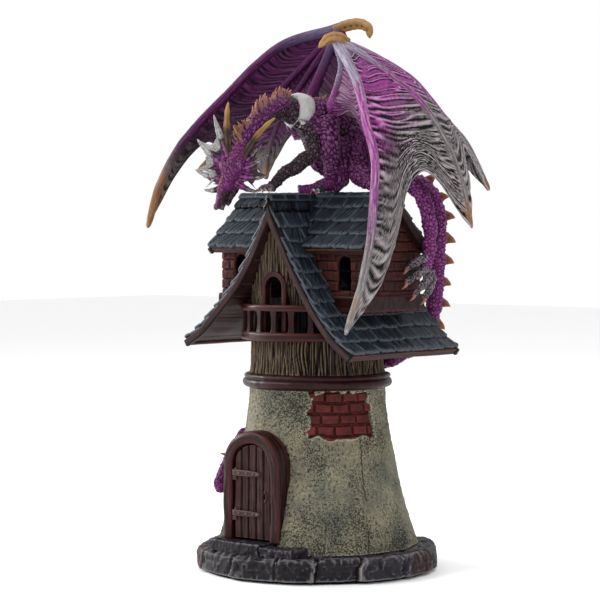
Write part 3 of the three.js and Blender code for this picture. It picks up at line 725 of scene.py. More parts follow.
def sweep(sculpt, path, first, second, loop, normals, rough, seed, along=0.15):
    """Carries a section along a path: its two coordinates go along the directions first and second."""
    fine = 1.6
    path, first = np.asarray(path, float), np.asarray(first, float)
    second = np.broadcast_to(second, first.shape)
    P = path[:, None] + first[:, None] * loop[None, :, :1] + second[:, None] * loop[None, :, 1:]
    N = first[:, None] * normals[None, :, :1] + second[:, None] * normals[None, :, 1:]
    s = np.concatenate([[0], np.cumsum(np.linalg.norm(np.diff(path, axis=0), axis=1))])
    girth = np.concatenate([[0], np.cumsum(np.linalg.norm(np.diff(loop, axis=0), axis=1))])
    S, G = np.meshgrid(s, girth, indexing="ij")
    spot = np.stack([S * along, G, 0 * S], -1).reshape(-1, 3)
    push = rough * (
        fbm(spot, fine, 3, seed) - 0.6 * np.abs(noise(spot, fine * 2.2, seed + 5))
    ).reshape(S.shape)
    P = P + N * push[..., None]
    count, around = P.shape[:2]
    rings = [np.arange(around)[::-1], (count - 1) * around + np.arange(around)]
    sculpt.add(P, grid_quads(count, around, wrap_v=True), rings=rings)


def arch_frame(name, node, jamb, material, rough, seed, corner=1.0, sill_drop=0.0):
    """A moulded frame round an arched opening."""
    centre, half, sill, spring = arch_of(node, jamb)
    low, high = cad(node)
    front, back = low[1], high[1]
    up = np.arange(sill - sill_drop, spring, 0.7)
    turn = np.linspace(np.pi, 0, max(int(np.pi * half / 0.6), 12))
    x = np.concatenate(
        [np.full(len(up), centre - half), centre + half * np.cos(turn), np.full(len(up), centre + half)]
    )
    z = np.concatenate([up, spring + half * np.sin(turn), up[::-1]])
    out = np.concatenate([np.full(len(up), -1.0), np.cos(turn), np.full(len(up), 1.0)])
    rise = np.concatenate([np.zeros(len(up)), np.sin(turn), np.zeros(len(up))])
    path = np.stack([x, np.full(len(x), front), z], 1)
    first = np.stack([out, 0 * out, rise], 1)
    loop, normals = section(jamb, back - front, corner)
    made = Sculpt()
    sweep(made, path, first, (0, 1, 0), loop, normals, rough, seed)
    made.build(name, material, nodes=[node], detail=0.4)


LEAF_PROUD = 1.5


def door_leaf():
    """The arched leaf: upright planks with gaps between them."""
    low, high = cad("door_leaf")
    centre, half = (low[0] + high[0]) / 2, (high[0] - low[0]) / 2
    spring = high[2] - half
    x = np.linspace(low[0], high[0], 130)
    rise = np.sqrt(np.maximum(half**2 - (x - centre) ** 2, 0.0))
    v = np.linspace(0, 1, 210)
    X = np.repeat(x[:, None], len(v), 1)
    Z = low[2] + v[None] * (spring + rise - low[2])[:, None]
    spot = np.stack([X, 0 * X, Z], -1).reshape(-1, 3)
    plank = (high[0] - low[0]) / 5
    place = (X - low[0]) / plank + 0.05 * noise(spot, 14, 91).reshape(X.shape)
    number = np.floor(place)
    seam = np.minimum(place - number, number + 1 - place) * plank
    grain = fbm(spot * np.array([1, 1, 0.09]), 1.0, 3, 93).reshape(X.shape)
    knots = np.maximum(noise(spot * np.array([1, 1, 0.4]), 4.5, 95) - 0.5, 0).reshape(X.shape)
    height = 1.5 * smoothstep(0.25, 0.9, seam) - 0.75 + 0.36 * grain - 0.7 * knots
    height += 0.25 * (
        hashed(number.astype(np.int64), 0 * number.astype(np.int64), 0 * number.astype(np.int64), 97) - 0.5
    )
    hole = np.hypot(X - (high[0] - 3.8), (Z - 40.5) * 0.6)
    height = np.where(hole < 1.15, -2.3, height + 0.5 * (1 - smoothstep(1.6, 2.0, hole)))
    top = np.stack([X, low[1] - LEAF_PROUD + 0.75 - height, Z], -1)
    made = Sculpt()
    tone = 0.5 + 0.25 * np.sin(number * 2.7 + 1) - 0.5 * (hole < 1.4)
    shell(made, top, np.stack([X, np.full(X.shape, high[1]) + 0.15 * grain, Z], -1), np.clip(tone, 0, 1))
    made.build("door_leaf", PLANK, "door", ["door_leaf"], detail=0.45)


def strap(side):
    low, high = cad(f"door_strap_{side}")
    pivot = np.array([low[0] + 1.7, low[1] + 1.7])
    mid = (low[2] + high[2]) / 2
    made = Sculpt()
    taper = lambda p: np.stack(
        [p[:, 0], p[:, 1], mid + (p[:, 2] - mid) * (1.05 - 0.3 * smoothstep(low[0] + 8, high[0], p[:, 0]))],
        1,
    )
    face = high[1] - LEAF_PROUD
    block(
        made, [pivot[0] + 1.2, face - 1.6, low[2] + 0.05], [high[0] - 1.5, face + 0.1, high[2] - 0.05],
        0.35, 0.16, 0.35, 0, 101, 0.5, taper,
    )
    tube(
        made,
        [
            [high[0] - 2.4, face - 0.7, mid], [high[0] - 1.2, face - 0.7, mid],
            [high[0] - 0.2, face - 0.6, mid],
        ],
        [1.1, 1.0, 0.3], 16, flat=0.8,
    )
    ring = np.linspace(0, TAU, 33)[:-1]
    for z0, z1 in ((low[2], high[2]),):
        rows = np.linspace(z0, z1, 7)
        outer = 1.62 + 0.08 * np.sin(np.linspace(0, np.pi, 7))
        grid = [
            (
                [(pivot[0] + r * math.cos(a), pivot[1] + r * math.sin(a), z) for r, z in zip(outer, rows)]
                + [(pivot[0] + 1.0 * math.cos(a), pivot[1] + 1.0 * math.sin(a), z) for z in rows[::-1]]
            )
            for a in ring
        ]
        made.add(np.array(grid), grid_quads(len(ring), 14, wrap_u=True, wrap_v=True))
    for x in (pivot[0] + 3.4, pivot[0] + 8.2, pivot[0] + 12.8):
        tube(
            made, [[x, low[1] + 0.5, mid], [x, low[1] + 0.05, mid], [x, low[1] - 0.25, mid]],
            [0.75, 0.7, 0.25], 12, tint=0.75,
        )
    made.build(f"door_strap_{side}", IRON, "door", [f"door_strap_{side}"], 0.2, True)


def pintle(side):
    low, high = cad(f"door_pintle_{side}")
    made = Sculpt()
    x, y = high[0] - 1.0, (low[1] + high[1]) / 2
    block(made, [low[0], low[1], low[2]], [high[0], high[1], low[2] + 2.0], 0.3, 0.14, 0.35, None, 105)
    tube(
        made, [[x, y, z] for z in np.linspace(low[2] + 1.0, high[2] + 0.15, 9)], [0.88] * 7 + [0.8, 0.45],
        18,
    )
    made.build(f"door_pintle_{side}", IRON, "tower", [f"door_pintle_{side}"], 0.2, True)


# ---------------------------------------------------------------- moulding, drum and balcony
def turned(sculpt, profile, turns, rough, seed):
    """A closed profile of (radius, height) turned about the axis, a little uneven."""
    profile = np.asarray(profile, float)
    theta = np.arange(turns) / turns * TAU
    T, K = np.meshgrid(theta, np.arange(len(profile)), indexing="ij")
    R, Z = profile[K, 0], profile[K, 1]
    spot = np.stack([R * np.cos(T), R * np.sin(T), Z], -1)
    push = rough * fbm(spot.reshape(-1, 3), 3.5, 3, seed).reshape(T.shape)
    R = R + push
    P = np.stack([R * np.cos(T), R * np.sin(T), Z + 0.4 * push], -1)
    sculpt.add(P, grid_quads(turns, len(profile), wrap_u=True, wrap_v=True))


def ring_moulding():
    """The turned ring between the plaster wall and the drum."""
    low, high = cad("ring_moulding")
    outer = high[0]
    arc = lambda r0, z0, size, start, stop, n: [
        (r0 + size * math.cos(a), z0 + size * math.sin(a)) for a in np.radians(np.linspace(start, stop, n))
    ]
    lower = arc(outer - 2.35, low[2] + 2.4, 2.4, -90, 62, 14)
    upper = arc(outer - 2.1, high[2] - 1.25, 1.25, -55, 90, 10)
    inside = [
        (outer - 4, high[2]), (outer - 8, high[2] - 0.1), (outer - 8, low[2] + 0.1), (outer - 4, low[2])
    ]
    made = Sculpt()
    turned(made, lower + upper + inside, 420, 0.28, 111)
    made.build("ring_moulding", TIMBER, nodes=["ring_moulding"], detail=0.4)


def roof_line(node_name, run, across):
    """The top outline of a roof node on its end face, ridge to eave: (distance from the ridge, height)."""
    co = positions(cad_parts[node_name].data) / MM
    edge = co[:, 1].min() if run == 1 else co[np.abs(co[:, 0]).argmax(), 0]
    face = co[np.abs(co[:, run] - edge) < 0.2]
    points = sorted({(round(abs(float(p[across])), 1), round(float(p[2]), 1)) for p in face})
    return np.array(points[1::2])


class Slope:
    """A roof side as a smooth line from ridge to eave, with arc length and outward normals."""

    def __init__(self, line):
        self.points = spline(line, 260)
        steps = np.linalg.norm(np.diff(self.points, axis=0), axis=1)
        self.s = np.concatenate([[0], np.cumsum(steps)])
        self.total = self.s[-1]
        tangent = np.gradient(self.points, axis=0)
        tangent /= np.linalg.norm(tangent, axis=1, keepdims=True)
        self.normal = np.stack([-tangent[:, 1], tangent[:, 0]], 1)

    def at(self, s, lift):
        """Distance from the ridge and height of points at arc length s, raised along the normal."""
        s = np.asarray(s, float)
        over = np.maximum(s - self.total, 0)
        out = []
        for k in (0, 1):
            end = (self.points[-1, k] - self.points[-2, k]) / (self.s[-1] - self.s[-2])
            out.append(
                np.interp(s, self.s, self.points[:, k])
                + end * over
                + lift * np.interp(s, self.s, self.normal[:, k])
            )
        return out

    def height(self, across, below=0.0):
        inner = self.points - self.normal * below
        return np.interp(np.abs(across), inner[:, 0], inner[:, 1])


SLOPES = {side: Slope(roof_line(f"roof_slates_{side}", 1, 0)) for side in ("right", "left")}
CROSS_SLOPE = Slope(roof_line("cross_slates_right", 0, 1))
UNDER = 4.9


def main_height(x, below=0.0):
    return np.where(np.asarray(x) >= 0, SLOPES["right"].height(x, below), SLOPES["left"].height(x, below))


def drum_and_gable():
    """The carved timber drum with its arch and rear hatch cut out, and the rear gable wall."""
    low, high = cad("drum_wall")
    outer = high[0] - 0.5
    frame_c, frame_h, frame_sill, frame_spring = arch_of("balcony_door_frame", 1.4)
    rear_c, rear_h, rear_sill, rear_spring = arch_of("hatch_frame", 1.4)
    turns, rows = 560, 150
    theta = np.arange(turns) / turns * TAU
    top = main_height(outer * np.cos(theta), UNDER + 0.3)
    v = np.concatenate([np.linspace(0, 1, rows), np.linspace(1, 0, 12)])
    inner = np.arange(len(v)) >= rows
    T, V = np.meshgrid(theta, v, indexing="ij")
    Z = low[2] + V * (top[:, None] - low[2])
    R = np.where(inner, outer - 3.6, outer)
    bark = bark_height(outer * T, Z, 121)
    flare = 0.7 * (1 - smoothstep(0, 5, Z - low[2]))
    gallery = smoothstep(120.5, 121.3, Z) * smoothstep(132.6, 131.8, Z) * (
        np.abs((np.degrees(T) - 270 + 180) % 360 - 180) < 52
    )
    R = R + np.where(inner, 0, bark + flare - 2.4 * gallery)
    P = np.stack([R * np.cos(T), R * np.sin(T), Z], -1)
    quads = grid_quads(turns, len(v), wrap_u=True, wrap_v=True)
    mid = quad_centres(P, quads)
    cut = in_arch(mid[:, 0], mid[:, 2], frame_c, frame_h, frame_sill, frame_spring) & (mid[:, 1] < 0)
    cut |= (np.abs(mid[:, 0]) < rear_h) & (mid[:, 2] > rear_sill - 3) & (mid[:, 1] > 0)
    made = Sculpt()
    made.add(
        P, quads[~cut],
        np.clip(0.5 + 0.35 * noise(np.stack([outer * T, 0 * T, Z * 0.1], -1).reshape(-1, 3), 3, 125), 0, 1),
    )
    drum = made.build("drum_wall", CARVED, nodes=["drum_wall"], detail=0.55)
    co = positions(drum.data) / MM
    # Painted shade: the recessed gallery wall behind the balusters has its cav pushed far down, so the wash
    # paints it near black where the open gallery lies in shadow.
    shadow = smoothstep(120.8, 122, co[:, 2]) * smoothstep(132, 131.4, co[:, 2]) * (co[:, 1] < -18) * (
        np.hypot(co[:, 0], co[:, 1]) < outer - 0.9
    )
    wash = np.empty(len(co), np.float32)
    drum.data.attributes["cav"].data.foreach_get("value", wash)
    put(drum.data, "cav", wash - 2.2 * shadow)

    low, high = cad("rear_gable")
    x = np.linspace(low[0], high[0], 150)
    v = np.linspace(0, 1, 130)
    X, V = np.meshgrid(x, v, indexing="ij")
    Z = low[2] + V * (main_height(X, UNDER + 0.3) - low[2])
    plank = bark_height(X * 0.8, Z, 131)
    top = np.stack([X, high[1] - 0.6 + plank * 0.8, Z], -1)
    under = np.stack([X, low[1] + 0 * X, Z], -1)
    mid = quad_centres(top, grid_quads(len(x), len(v)))
    keep = ~in_arch(mid[:, 0], mid[:, 2], rear_c, rear_h, rear_sill - 3, rear_spring)
    made = Sculpt()
    shell(made, top, under, 0.5, keep=keep)
    made.build("rear_gable", CARVED, nodes=["rear_gable"], detail=0.6)


def bark_height(a, z, seed):
    """Upright split strips of wood with deep dark gaps."""
    spot = np.stack([a, 0 * a, z * 0.075], -1).reshape(-1, 3)
    sway = 0.9 * noise(np.stack([a, 0 * a, z], -1).reshape(-1, 3), 14, seed).reshape(a.shape)
    near, second, _ = cells((a + sway) / 2.3, z / 46, seed, 0.9)
    gap = smoothstep(0.02, 0.3, second - near)
    ridged = 1 - 2 * np.abs(noise(spot, 1.25, seed + 1)).reshape(a.shape)
    return 1.5 * gap + 0.55 * ridged + 0.3 * noise(spot, 0.7, seed + 3).reshape(a.shape) - 1.1


def arc_beam(name, inner, outer, bottom, top, spread, corner, seed):
    angle = np.radians(np.linspace(-90 - spread, -90 + spread, 190))
    first = np.stack([np.cos(angle), np.sin(angle), 0 * angle], 1)
    path = first * inner
    path[:, 2] = bottom
    loop, normals = section(outer - inner, top - bottom, corner, 0.4)
    made = Sculpt()
    sweep(made, path, first, (0, 0, 1), loop, normals, 0.28, seed, 0.12)
    made.build(name, TIMBER, nodes=[name], detail=0.35)


def balcony():
    """The balcony floor, its posts and its rail."""
    low, high = cad("balcony_deck")
    radius = -low[1]
    arc_beam("balcony_deck", radius - 4.6, radius + 0.7, low[2] - 0.5, high[2] + 0.4, 53, 1.4, 141)
    low, high = cad("balcony_rail")
    arc_beam("balcony_rail", radius - 2.8, radius + 1.0, low[2] - 0.2, high[2] + 0.3, 52.5, 1.3, 143)
    for number in range(1, 7):
        low, high = cad(f"baluster_{number}")
        x, y = (low[:2] + high[:2]) / 2
        angle = math.atan2(y, x)
        made = Sculpt()

        def turned_post(p):
            girth = waist(p[:, 2], low[2], high[2])
            across = p[:, 0] * math.cos(angle) - p[:, 1] * math.sin(angle)
            along = p[:, 0] * math.sin(angle) + p[:, 1] * math.cos(angle)
            return np.stack([x + across * girth, y + along * girth, p[:, 2]], 1)

        block(
            made, [-1.3, -1.6, low[2] - 0.6], [1.3, 1.6, high[2] + 0.6], 0.3, 0.2, 0.4, 2, 150 + number,
            move=turned_post,
        )
        made.build(f"baluster_{number}", TIMBER, "tower", [f"baluster_{number}"], 0.25, True)


def waist(z, low, high):
    t = np.clip((z - low) / (high - low), 0, 1)
    return 1.12 - 0.3 * np.sin(np.pi * t) ** 0.7


def hatch_sill():
    low, high = cad("hatch_sill")
    made = Sculpt()
    block(made, [low[0], low[1], low[2]], [high[0], high[1] - 1.4, high[2] - 3], 0.7, 0.25, 0.7, 0, 161)
    block(
        made, [low[0], high[1] - 2.2, low[2] + 0.3], [high[0], high[1], high[2]], 0.6, 0.25, 0.7, 0, 163,
        0.6,
    )
    made.build("hatch_sill", TIMBER, "tower", ["hatch_sill"], 0.4, True)


# ---------------------------------------------------------------- roofs
def roof_point(slope, sign, s, run, lift, run_axis):
    across, height = slope.at(s, lift)
    across, height, run = np.broadcast_arrays(sign * np.maximum(across, 0.12), height, run)
    return np.stack([across, run, height] if run_axis == 1 else [run, across, height], -1)


def slate_side(made, slope, sign, run_axis, span, courses, seed, hidden):
    """Lays courses of overlapping slates on one roof side, and the board they lie on."""
    expose = slope.total / courses
    draw = np.random.default_rng(seed)
    for row in range(courses):
        place = span[0] + draw.uniform(-9, -3)
        while place < span[1]:
            width = draw.uniform(9.5, 14)
            a, b = max(place + 0.22, span[0]), min(place + width - 0.22, span[1])
            place += width
            if b - a < 2.2:
                continue
            nu, nv = max(int((b - a) / 0.5), 4), 17
            s0, s1 = (row - 0.4) * expose, (row + 1) * expose + draw.uniform(-0.1, 0.7)
            u, v = np.meshgrid(np.linspace(0, 1, nu), np.linspace(0, 1, nv), indexing="ij")
            run = a + (b - a) * u
            spot = np.stack([run, 0 * u + seed * 7.3 + row * 3.1, 0 * u], -1).reshape(-1, 3)
            chip = 0.7 * fbm(spot, 2.6, 2, seed + row).reshape(u.shape) - 0.8 * (np.abs(2 * u - 1) > 0.9)
            s = np.maximum(s0 + (s1 - s0) * v + chip * v**2, 0)
            grain_spot = np.stack([run + 0.3 * s, s * 0.11, 0 * s + row], -1).reshape(-1, 3)
            grooves = np.maximum(1 - np.abs(noise(grain_spot, 1.5, seed + 9)) * 4, 0)
            grain = (0.2 * fbm(grain_spot, 1.9, 3, seed + 3) - 0.5 * grooves + 0.12).reshape(u.shape)
            tilt = draw.uniform(-0.22, 0.22) * (2 * u - 1) + draw.uniform(-0.12, 0.2)
            lift = (
                -1.35
                + 1.75 * v
                + (tilt + grain) * smoothstep(0, 0.35, v)
                - 0.35 * smoothstep(0.9, 1.0, v)
            )
            centre = roof_point(slope, sign, (s0 + s1) / 2, (a + b) / 2, 0, run_axis)
            tone = draw.uniform(0.28, 0.75)
            if hidden(centre):
                continue
            top = roof_point(slope, sign, s, run, lift, run_axis)
            lower = roof_point(slope, sign, s, run, lift - 1.15, run_axis)
            shell(made, top, lower, tone)
    u, v = np.meshgrid(
        np.linspace(span[0] + 0.4, span[1] - 0.4, 60), np.linspace(0, slope.total - 0.6, 50), indexing="ij"
    )
    top = roof_point(slope, sign, v, u, -1.3, run_axis)
    lower = roof_point(slope, sign, v, u, -2.5, run_axis)
    shell(made, top, lower, 0.1)


CAP_REACH = 3.6


def ridge_caps(made, slopes, run_axis, span, seed):
    """Folded cap slates along a ridge, each a little out of line with the next."""
    draw = np.random.default_rng(seed)
    place = span[0]
    while place < span[1] - 3:
        end = min(place + draw.uniform(9, 12), span[1])
        q, run = np.meshgrid(
            np.linspace(-CAP_REACH, CAP_REACH, 19), np.linspace(place + 0.15, end - 0.15, 16), indexing="ij"
        )
        left, right = slopes
        shapes = []
        for lift in (0.9, -0.9):
            a0, z0 = left.at(np.abs(q), lift)
            a1, z1 = right.at(np.abs(q), lift)
            across = np.where(q < 0, -np.maximum(a0, 0), np.maximum(a1, 0))
            height = np.where(q < 0, z0, z1) - 0.5 * (1 - smoothstep(0, 1.6, np.abs(q))) + 0.4
            spot = np.stack([q * 2, run, 0 * q + seed], -1).reshape(-1, 3)
            height = height + 0.25 * fbm(spot, 2.2, 3, seed).reshape(q.shape) + draw.uniform(-0.1, 0.1)
            shapes.append(np.stack([across, run, height] if run_axis == 1 else [run, across, height], -1))
        shell(made, shapes[0], shapes[1], draw.uniform(0.35, 0.7))
        place = end


def under_cross(point):
    x, y, z = point
    return abs(x) < 49 and abs(y) < 26 and z < CROSS_SLOPE.height(y) - 4 and z > 170


def under_main(point):
    return point[2] < main_height(point[0]) - 4


def board_sweep(made, slope, sign, run, run_step, run_axis, width, seed):
    """A board that follows the gable edge just under the slates."""
    s = np.linspace(1.0, slope.total + 0.4, 190)
    path = roof_point(slope, sign, s, np.full(len(s), run), -2.0, run_axis)
    deeper = roof_point(slope, sign, s, np.full(len(s), run), -3.0, run_axis)
    across = 0 if run_axis == 1 else 1
    path[:, across] = sign * np.maximum(sign * path[:, across], 0.15)
    deeper[:, across] = path[:, across] + (deeper - path)[:, across] * smoothstep(1.0, 9.0, s)
    along = np.zeros((len(s), 3))
    along[:, 1 if run_axis == 1 else 0] = run_step
    loop, normals = section(width, 3.6, 0.6, 0.5)
    sweep(made, path, along, deeper - path, loop, normals, 0.2, seed, 0.1)


def lining(name, slope, signs, run_axis, span, ends, seed):
    made = Sculpt()
    for sign in signs:
        u, v = np.meshgrid(
            np.linspace(span[0], span[1], 100), np.linspace(0.2, slope.total - 0.8, 120), indexing="ij"
        )
        spot = np.stack([u * 0.12, 0 * u + sign * 9, v], -1).reshape(-1, 3)
        wear = (
            0.35 * fbm(spot, 3, 3, seed)
            + 0.4 * noise(np.stack([u, v, 0 * u], -1).reshape(-1, 3), 16, seed + 3)
        ).reshape(u.shape)
        boards = 0.35 * smoothstep(0.0, 0.09, np.abs((v / 7.5) % 1 - 0.5) * 2 - 0.02)
        upper = roof_point(slope, sign, v, u, -2.75 + 0 * u, run_axis)
        lower = roof_point(slope, sign, v, u, -4.3 - wear - boards, run_axis)
        shell(made, upper, lower, 0.45)
        for run, step in ends:
            board_sweep(made, slope, sign, run, step, run_axis, 2.6, seed + 11)
        line = np.linspace(span[0], span[1], 150)
        path = roof_point(slope, sign, slope.total + 0.2, line, -2.0, run_axis)
        deeper = roof_point(slope, sign, slope.total + 0.2, line, -3.0, run_axis) - path
        inward = roof_point(slope, sign, slope.total - 0.8, line, -2.0, run_axis) - path
        loop, normals = section(2.2, 3.4, 0.7, 0.5)
        sweep(made, path, inward, deeper, loop, normals, 0.3, seed + 17, 0.1)
    made.build(name, VERGE, "tower", [name], 0.4)


def roofs():
    """Slates, ridge caps and linings of both roofs."""
    low, high = cad("roof_slates_right")
    span = (low[1], high[1])
    for seed, side in enumerate(("right", "left")):
        sign = 1 if side == "right" else -1
        made = Sculpt()
        slate_side(made, SLOPES[side], sign, 1, span, 11, 171 + seed, under_cross)
        if side == "right":
            ridge_caps(made, (SLOPES["left"], SLOPES["right"]), 1, span, 175)
        made.build(f"roof_slates_{side}", SLATE, "tower", [f"roof_slates_{side}"], 0.45)
        lining(
            f"roof_lining_{side}", SLOPES[side], [sign], 1, span, ((span[0] - 0.8, 1), (span[1] + 0.8, -1)),
            181,
        )
        low, high = cad(f"cross_slates_{side}")
        cross_span = (0.5, high[0]) if sign > 0 else (low[0], -0.5)
        made = Sculpt()
        for k, half in enumerate((-1, 1)):
            slate_side(made, CROSS_SLOPE, half, 0, cross_span, 4, 191 + 2 * seed + k, under_main)
        ridge_caps(made, (CROSS_SLOPE, CROSS_SLOPE), 0, cross_span, 199 + seed)
        made.build(f"cross_slates_{side}", SLATE, "tower", [f"cross_slates_{side}"], 0.45)
        end = (high[0] + 0.8, -1) if sign > 0 else (low[0] - 0.8, 1)
        reach = (12, high[0]) if sign > 0 else (low[0], -12)
        lining(f"cross_lining_{side}", CROSS_SLOPE, (-1, 1), 0, reach, (end,), 205)


# ---------------------------------------------------------------- bays
def brick_wall(name, base, along, out, a, bottom, top, seed, opening=None):
    """A brick wall: columns at a along one direction, from bottom to top, with bricks raised along out."""
    v = np.linspace(0, 1, 84)
    A = np.repeat(a[:, None], len(v), 1)
    Z = bottom[:, None] + v[None] * (top - bottom)[:, None]
    spot = np.stack([A, 0 * A, Z], -1).reshape(-1, 3)
    wander = 0.3 * noise(spot, 6, seed).reshape(A.shape)
    face, own = brick_height(A + wander, Z + wander - 137, 9.4, 4.9, seed + 1, 0.3)
    lump = 0.3 * fbm(spot, 2.2, 3, seed + 5).reshape(A.shape)
    raised = face * (1 + lump) + 0.4 * lump
    base, along, out = (np.array(k, float) for k in (base, along, out))
    up = np.array([0, 0, 1.0])
    front = base + A[..., None] * along + Z[..., None] * up + (0.7 * raised - 0.5)[..., None] * out
    back = base + A[..., None] * along + Z[..., None] * up - 2.6 * out
    keep = None
    if opening is not None:
        mid = quad_centres(np.stack([A, 0 * A, Z], -1), grid_quads(len(a), len(v)))
        keep = ~in_arch(mid[:, 0], mid[:, 2], *opening)
    made = Sculpt()
    shell(made, front, back, np.clip(0.25 + 0.5 * own, 0, 1), keep=keep)
    made.build(name, DIM_BRICK, "tower", [name], 0.45)


# Centre, half width, sill and spring of the arched window in each bay.
BAY_WINDOW = (34, 4.5, 142, 155)


def bays():
    """Brick walls and the base beam of both bays."""
    for side, sign in (("right", 1), ("left", -1)):
        low, high = cad(f"bay_front_{side}")
        far = max(abs(low[0]), abs(high[0]))
        x = np.linspace(11, far, 120)
        bottom = np.maximum(low[2] - 0.6, main_height(sign * x, 4.5))
        top = np.full(len(x), CROSS_SLOPE.height(low[1], 3.2))
        bottom = np.minimum(bottom, top - 0.5)
        brick_wall(
            f"bay_front_{side}", (0, low[1] - 0.1, 0), (sign, 0, 0), (0, -1, 0), x, bottom, top, 211 + sign,
            BAY_WINDOW,
        )
        rear = cad(f"bay_rear_{side}")[1][1]
        top = np.full(len(x), CROSS_SLOPE.height(rear, 3.2))
        bottom = np.minimum(bottom, top - 0.5)
        brick_wall(
            f"bay_rear_{side}", (0, rear + 0.1, 0), (sign, 0, 0), (0, 1, 0), x, bottom, top, 217 + sign
        )
        y = np.linspace(low[1], rear, 130)
        top = CROSS_SLOPE.height(y, 3.2)
        brick_wall(
            f"bay_gable_{side}", (sign * far, 0, 0), (0, 1, 0), (sign, 0, 0), y,
            np.full(len(y), low[2] - 0.6), top, 223 + sign,
        )
        low, high = cad(f"bay_beam_{side}")
        made = Sculpt()
        near = 27 * sign
        ends = sorted((near, high[0] if sign > 0 else low[0]))
        block(
            made, [ends[0], low[1] - 0.4, low[2] - 0.6], [ends[1], high[1] + 0.4, high[2] + 0.3], 0.75,
            0.35, 1.0, 0, 231 + sign,
        )
        made.build(f"bay_beam_{side}", TIMBER, "tower", [f"bay_beam_{side}"], 0.5, True)


def plain_nodes():
    """The pieces inside and below keep their own bodies, with softened edges and the same paint."""
    for name, material, slot in (
        ("baffle_upper", RESIN, "plain_resin"),
        ("baffle_lower", RESIN, "plain_resin"),
        ("exit_ramp", RESIN, "plain_resin"),
        ("base_felt", FELT, "felt"),
    ):
        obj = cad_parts[name]
        obj.data.materials.clear()
        obj.data.materials.append(material)
        soft = obj.modifiers.new("soft_edges", "BEVEL")
        soft.width = 0.4 * MM
        soft.segments = 3


# ---------------------------------------------------------------- dragon
SCALES = paint(
    "dragon_scales", srgb(108, 34, 98), srgb(48, 12, 44), srgb(6, 1, 6), srgb(104, 82, 100), 0.95, 0.85,
    0.46, size=5,
    fade=[
        (0.0, srgb(86, 20, 78)), (0.14, srgb(116, 40, 108)), (0.26, srgb(30, 24, 25)),
        (0.4, srgb(50, 44, 43)), (0.5, srgb(196, 196, 193)), (0.62, srgb(204, 204, 202)),
        (0.7, srgb(60, 24, 14)), (0.86, srgb(122, 66, 34)), (1.0, srgb(166, 118, 70)),
    ],
)
NEAR_WING = paint(
    "near_wing", srgb(160, 80, 150), srgb(84, 58, 80), srgb(4, 3, 4), srgb(168, 154, 166), 1.0, 0.75, 0.5,
    size=14,
    fade=[
        (0.0, srgb(146, 146, 166)), (0.11, srgb(134, 124, 150)), (0.2, srgb(118, 62, 112)),
        (0.42, srgb(158, 54, 144)), (0.54, srgb(120, 76, 114)), (0.64, srgb(112, 108, 106)),
        (0.87, srgb(132, 131, 124)), (0.93, srgb(152, 108, 66)), (1.0, srgb(150, 110, 68)),
    ],
)
FAR_WING = paint(
    "far_wing", srgb(70, 22, 66), srgb(44, 14, 42), srgb(10, 3, 10), srgb(88, 54, 84), 0.9, 0.7, 0.5,
    size=14,
    fade=[
        (0.0, srgb(94, 92, 118)), (0.08, srgb(76, 58, 92)), (0.18, srgb(78, 20, 72)),
        (0.46, srgb(84, 24, 78)), (0.6, srgb(70, 40, 66)), (0.7, srgb(86, 80, 78)),
        (0.8, srgb(112, 104, 94)), (0.9, srgb(146, 104, 56)), (1.0, srgb(176, 130, 72)),
    ],
)
BONE = paint(
    "horn_bone", srgb(150, 104, 58), srgb(104, 66, 36), srgb(10, 6, 4), srgb(84, 72, 56), 0.92, 0.6, 0.45,
    size=4,
    fade=[
        (0.0, srgb(34, 28, 28)), (0.42, srgb(48, 40, 37)), (0.56, srgb(140, 100, 58)),
        (1.0, srgb(182, 140, 84)),
    ],
)


def scale_skin(size, depth, seed):
    """Relief of overlapping round scales: each swells towards the rear and drops off at its edge."""

    def height(s, angle, radius):
        across = angle * np.maximum(radius, 1.5) / size
        near, second, own = cells(s / size, across, seed, 0.75)
        gap = smoothstep(0.0, 0.14, second - near)
        dome = np.clip(1 - near * near * 1.5, 0, 1)
        chip = fbm(
            np.stack([s.ravel(), across.ravel() * size, 0 * s.ravel()], 1), 0.9, 2, seed + 7
        ).reshape(s.shape)
        lump = gap * (0.25 + 0.95 * dome) * (0.45 + 1.0 * own)
        return depth * (0.85 * lump - 0.45 + 0.3 * chip)

    return height


def at_path(path, t):
    return np.array([np.interp(t, np.linspace(0, 1, len(path)), path[:, k]) for k in range(3)])


def limb(made, points, radii, seed, fade=0.0, size=1.7, depth=0.55, around=72, step=0.36, tint=0.5):
    """A scaled limb through guide points, thicker and thinner over its muscles. Returns its path."""
    length = np.linalg.norm(np.diff(np.asarray(points, float), axis=0), axis=1).sum()
    count = max(int(length / step), 8)
    path = spline(points, count)
    radius = np.maximum(spline(np.array(radii, float)[:, None], count)[:, 0], 0.5)
    skin = scale_skin(size, depth, seed)
    bulge = lambda s, a, r: (
        skin(s, a, r)
        + 0.25 * np.sin(s * 0.55 + 1.7 * np.sin(a + seed)) * smoothstep(0, 3, r)
    )
    tube(made, path, radius, around, bulge, 1.0, tint, fade)
    return path


def back_row(made, path, radius, start, stop, count, length, lean, seed, fade=0.8):
    """A ragged crest of spines leaning back in clumps along the top of a limb."""
    draw = np.random.default_rng(seed)
    tangent, side, top = frames_along(path)
    for t in np.linspace(start, stop, count):
        k = min(int(t * (len(path) - 1)), len(path) - 1)
        high = top[k] if top[k][2] > 0 else -top[k]
        sway = side[k] * draw.uniform(-1.1, 1.1)
        clump = 0.35 + 0.85 * abs(math.sin(t * 10 + seed)) ** 1.5
        size = length * clump * draw.uniform(0.65, 1.2)
        root = path[k] + high * (radius[k] - 1.2) + sway
        spike(
            made, root, root + high * size + tangent[k] * lean * size + sway * 0.4, draw.uniform(1.3, 2.3),
            tangent[k] * draw.uniform(-0.6, 1.0), 0.6, 14, fade=fade + draw.uniform(-0.1, 0.06),
            up=tangent[k], tint=draw.uniform(0.1, 0.7),
        )


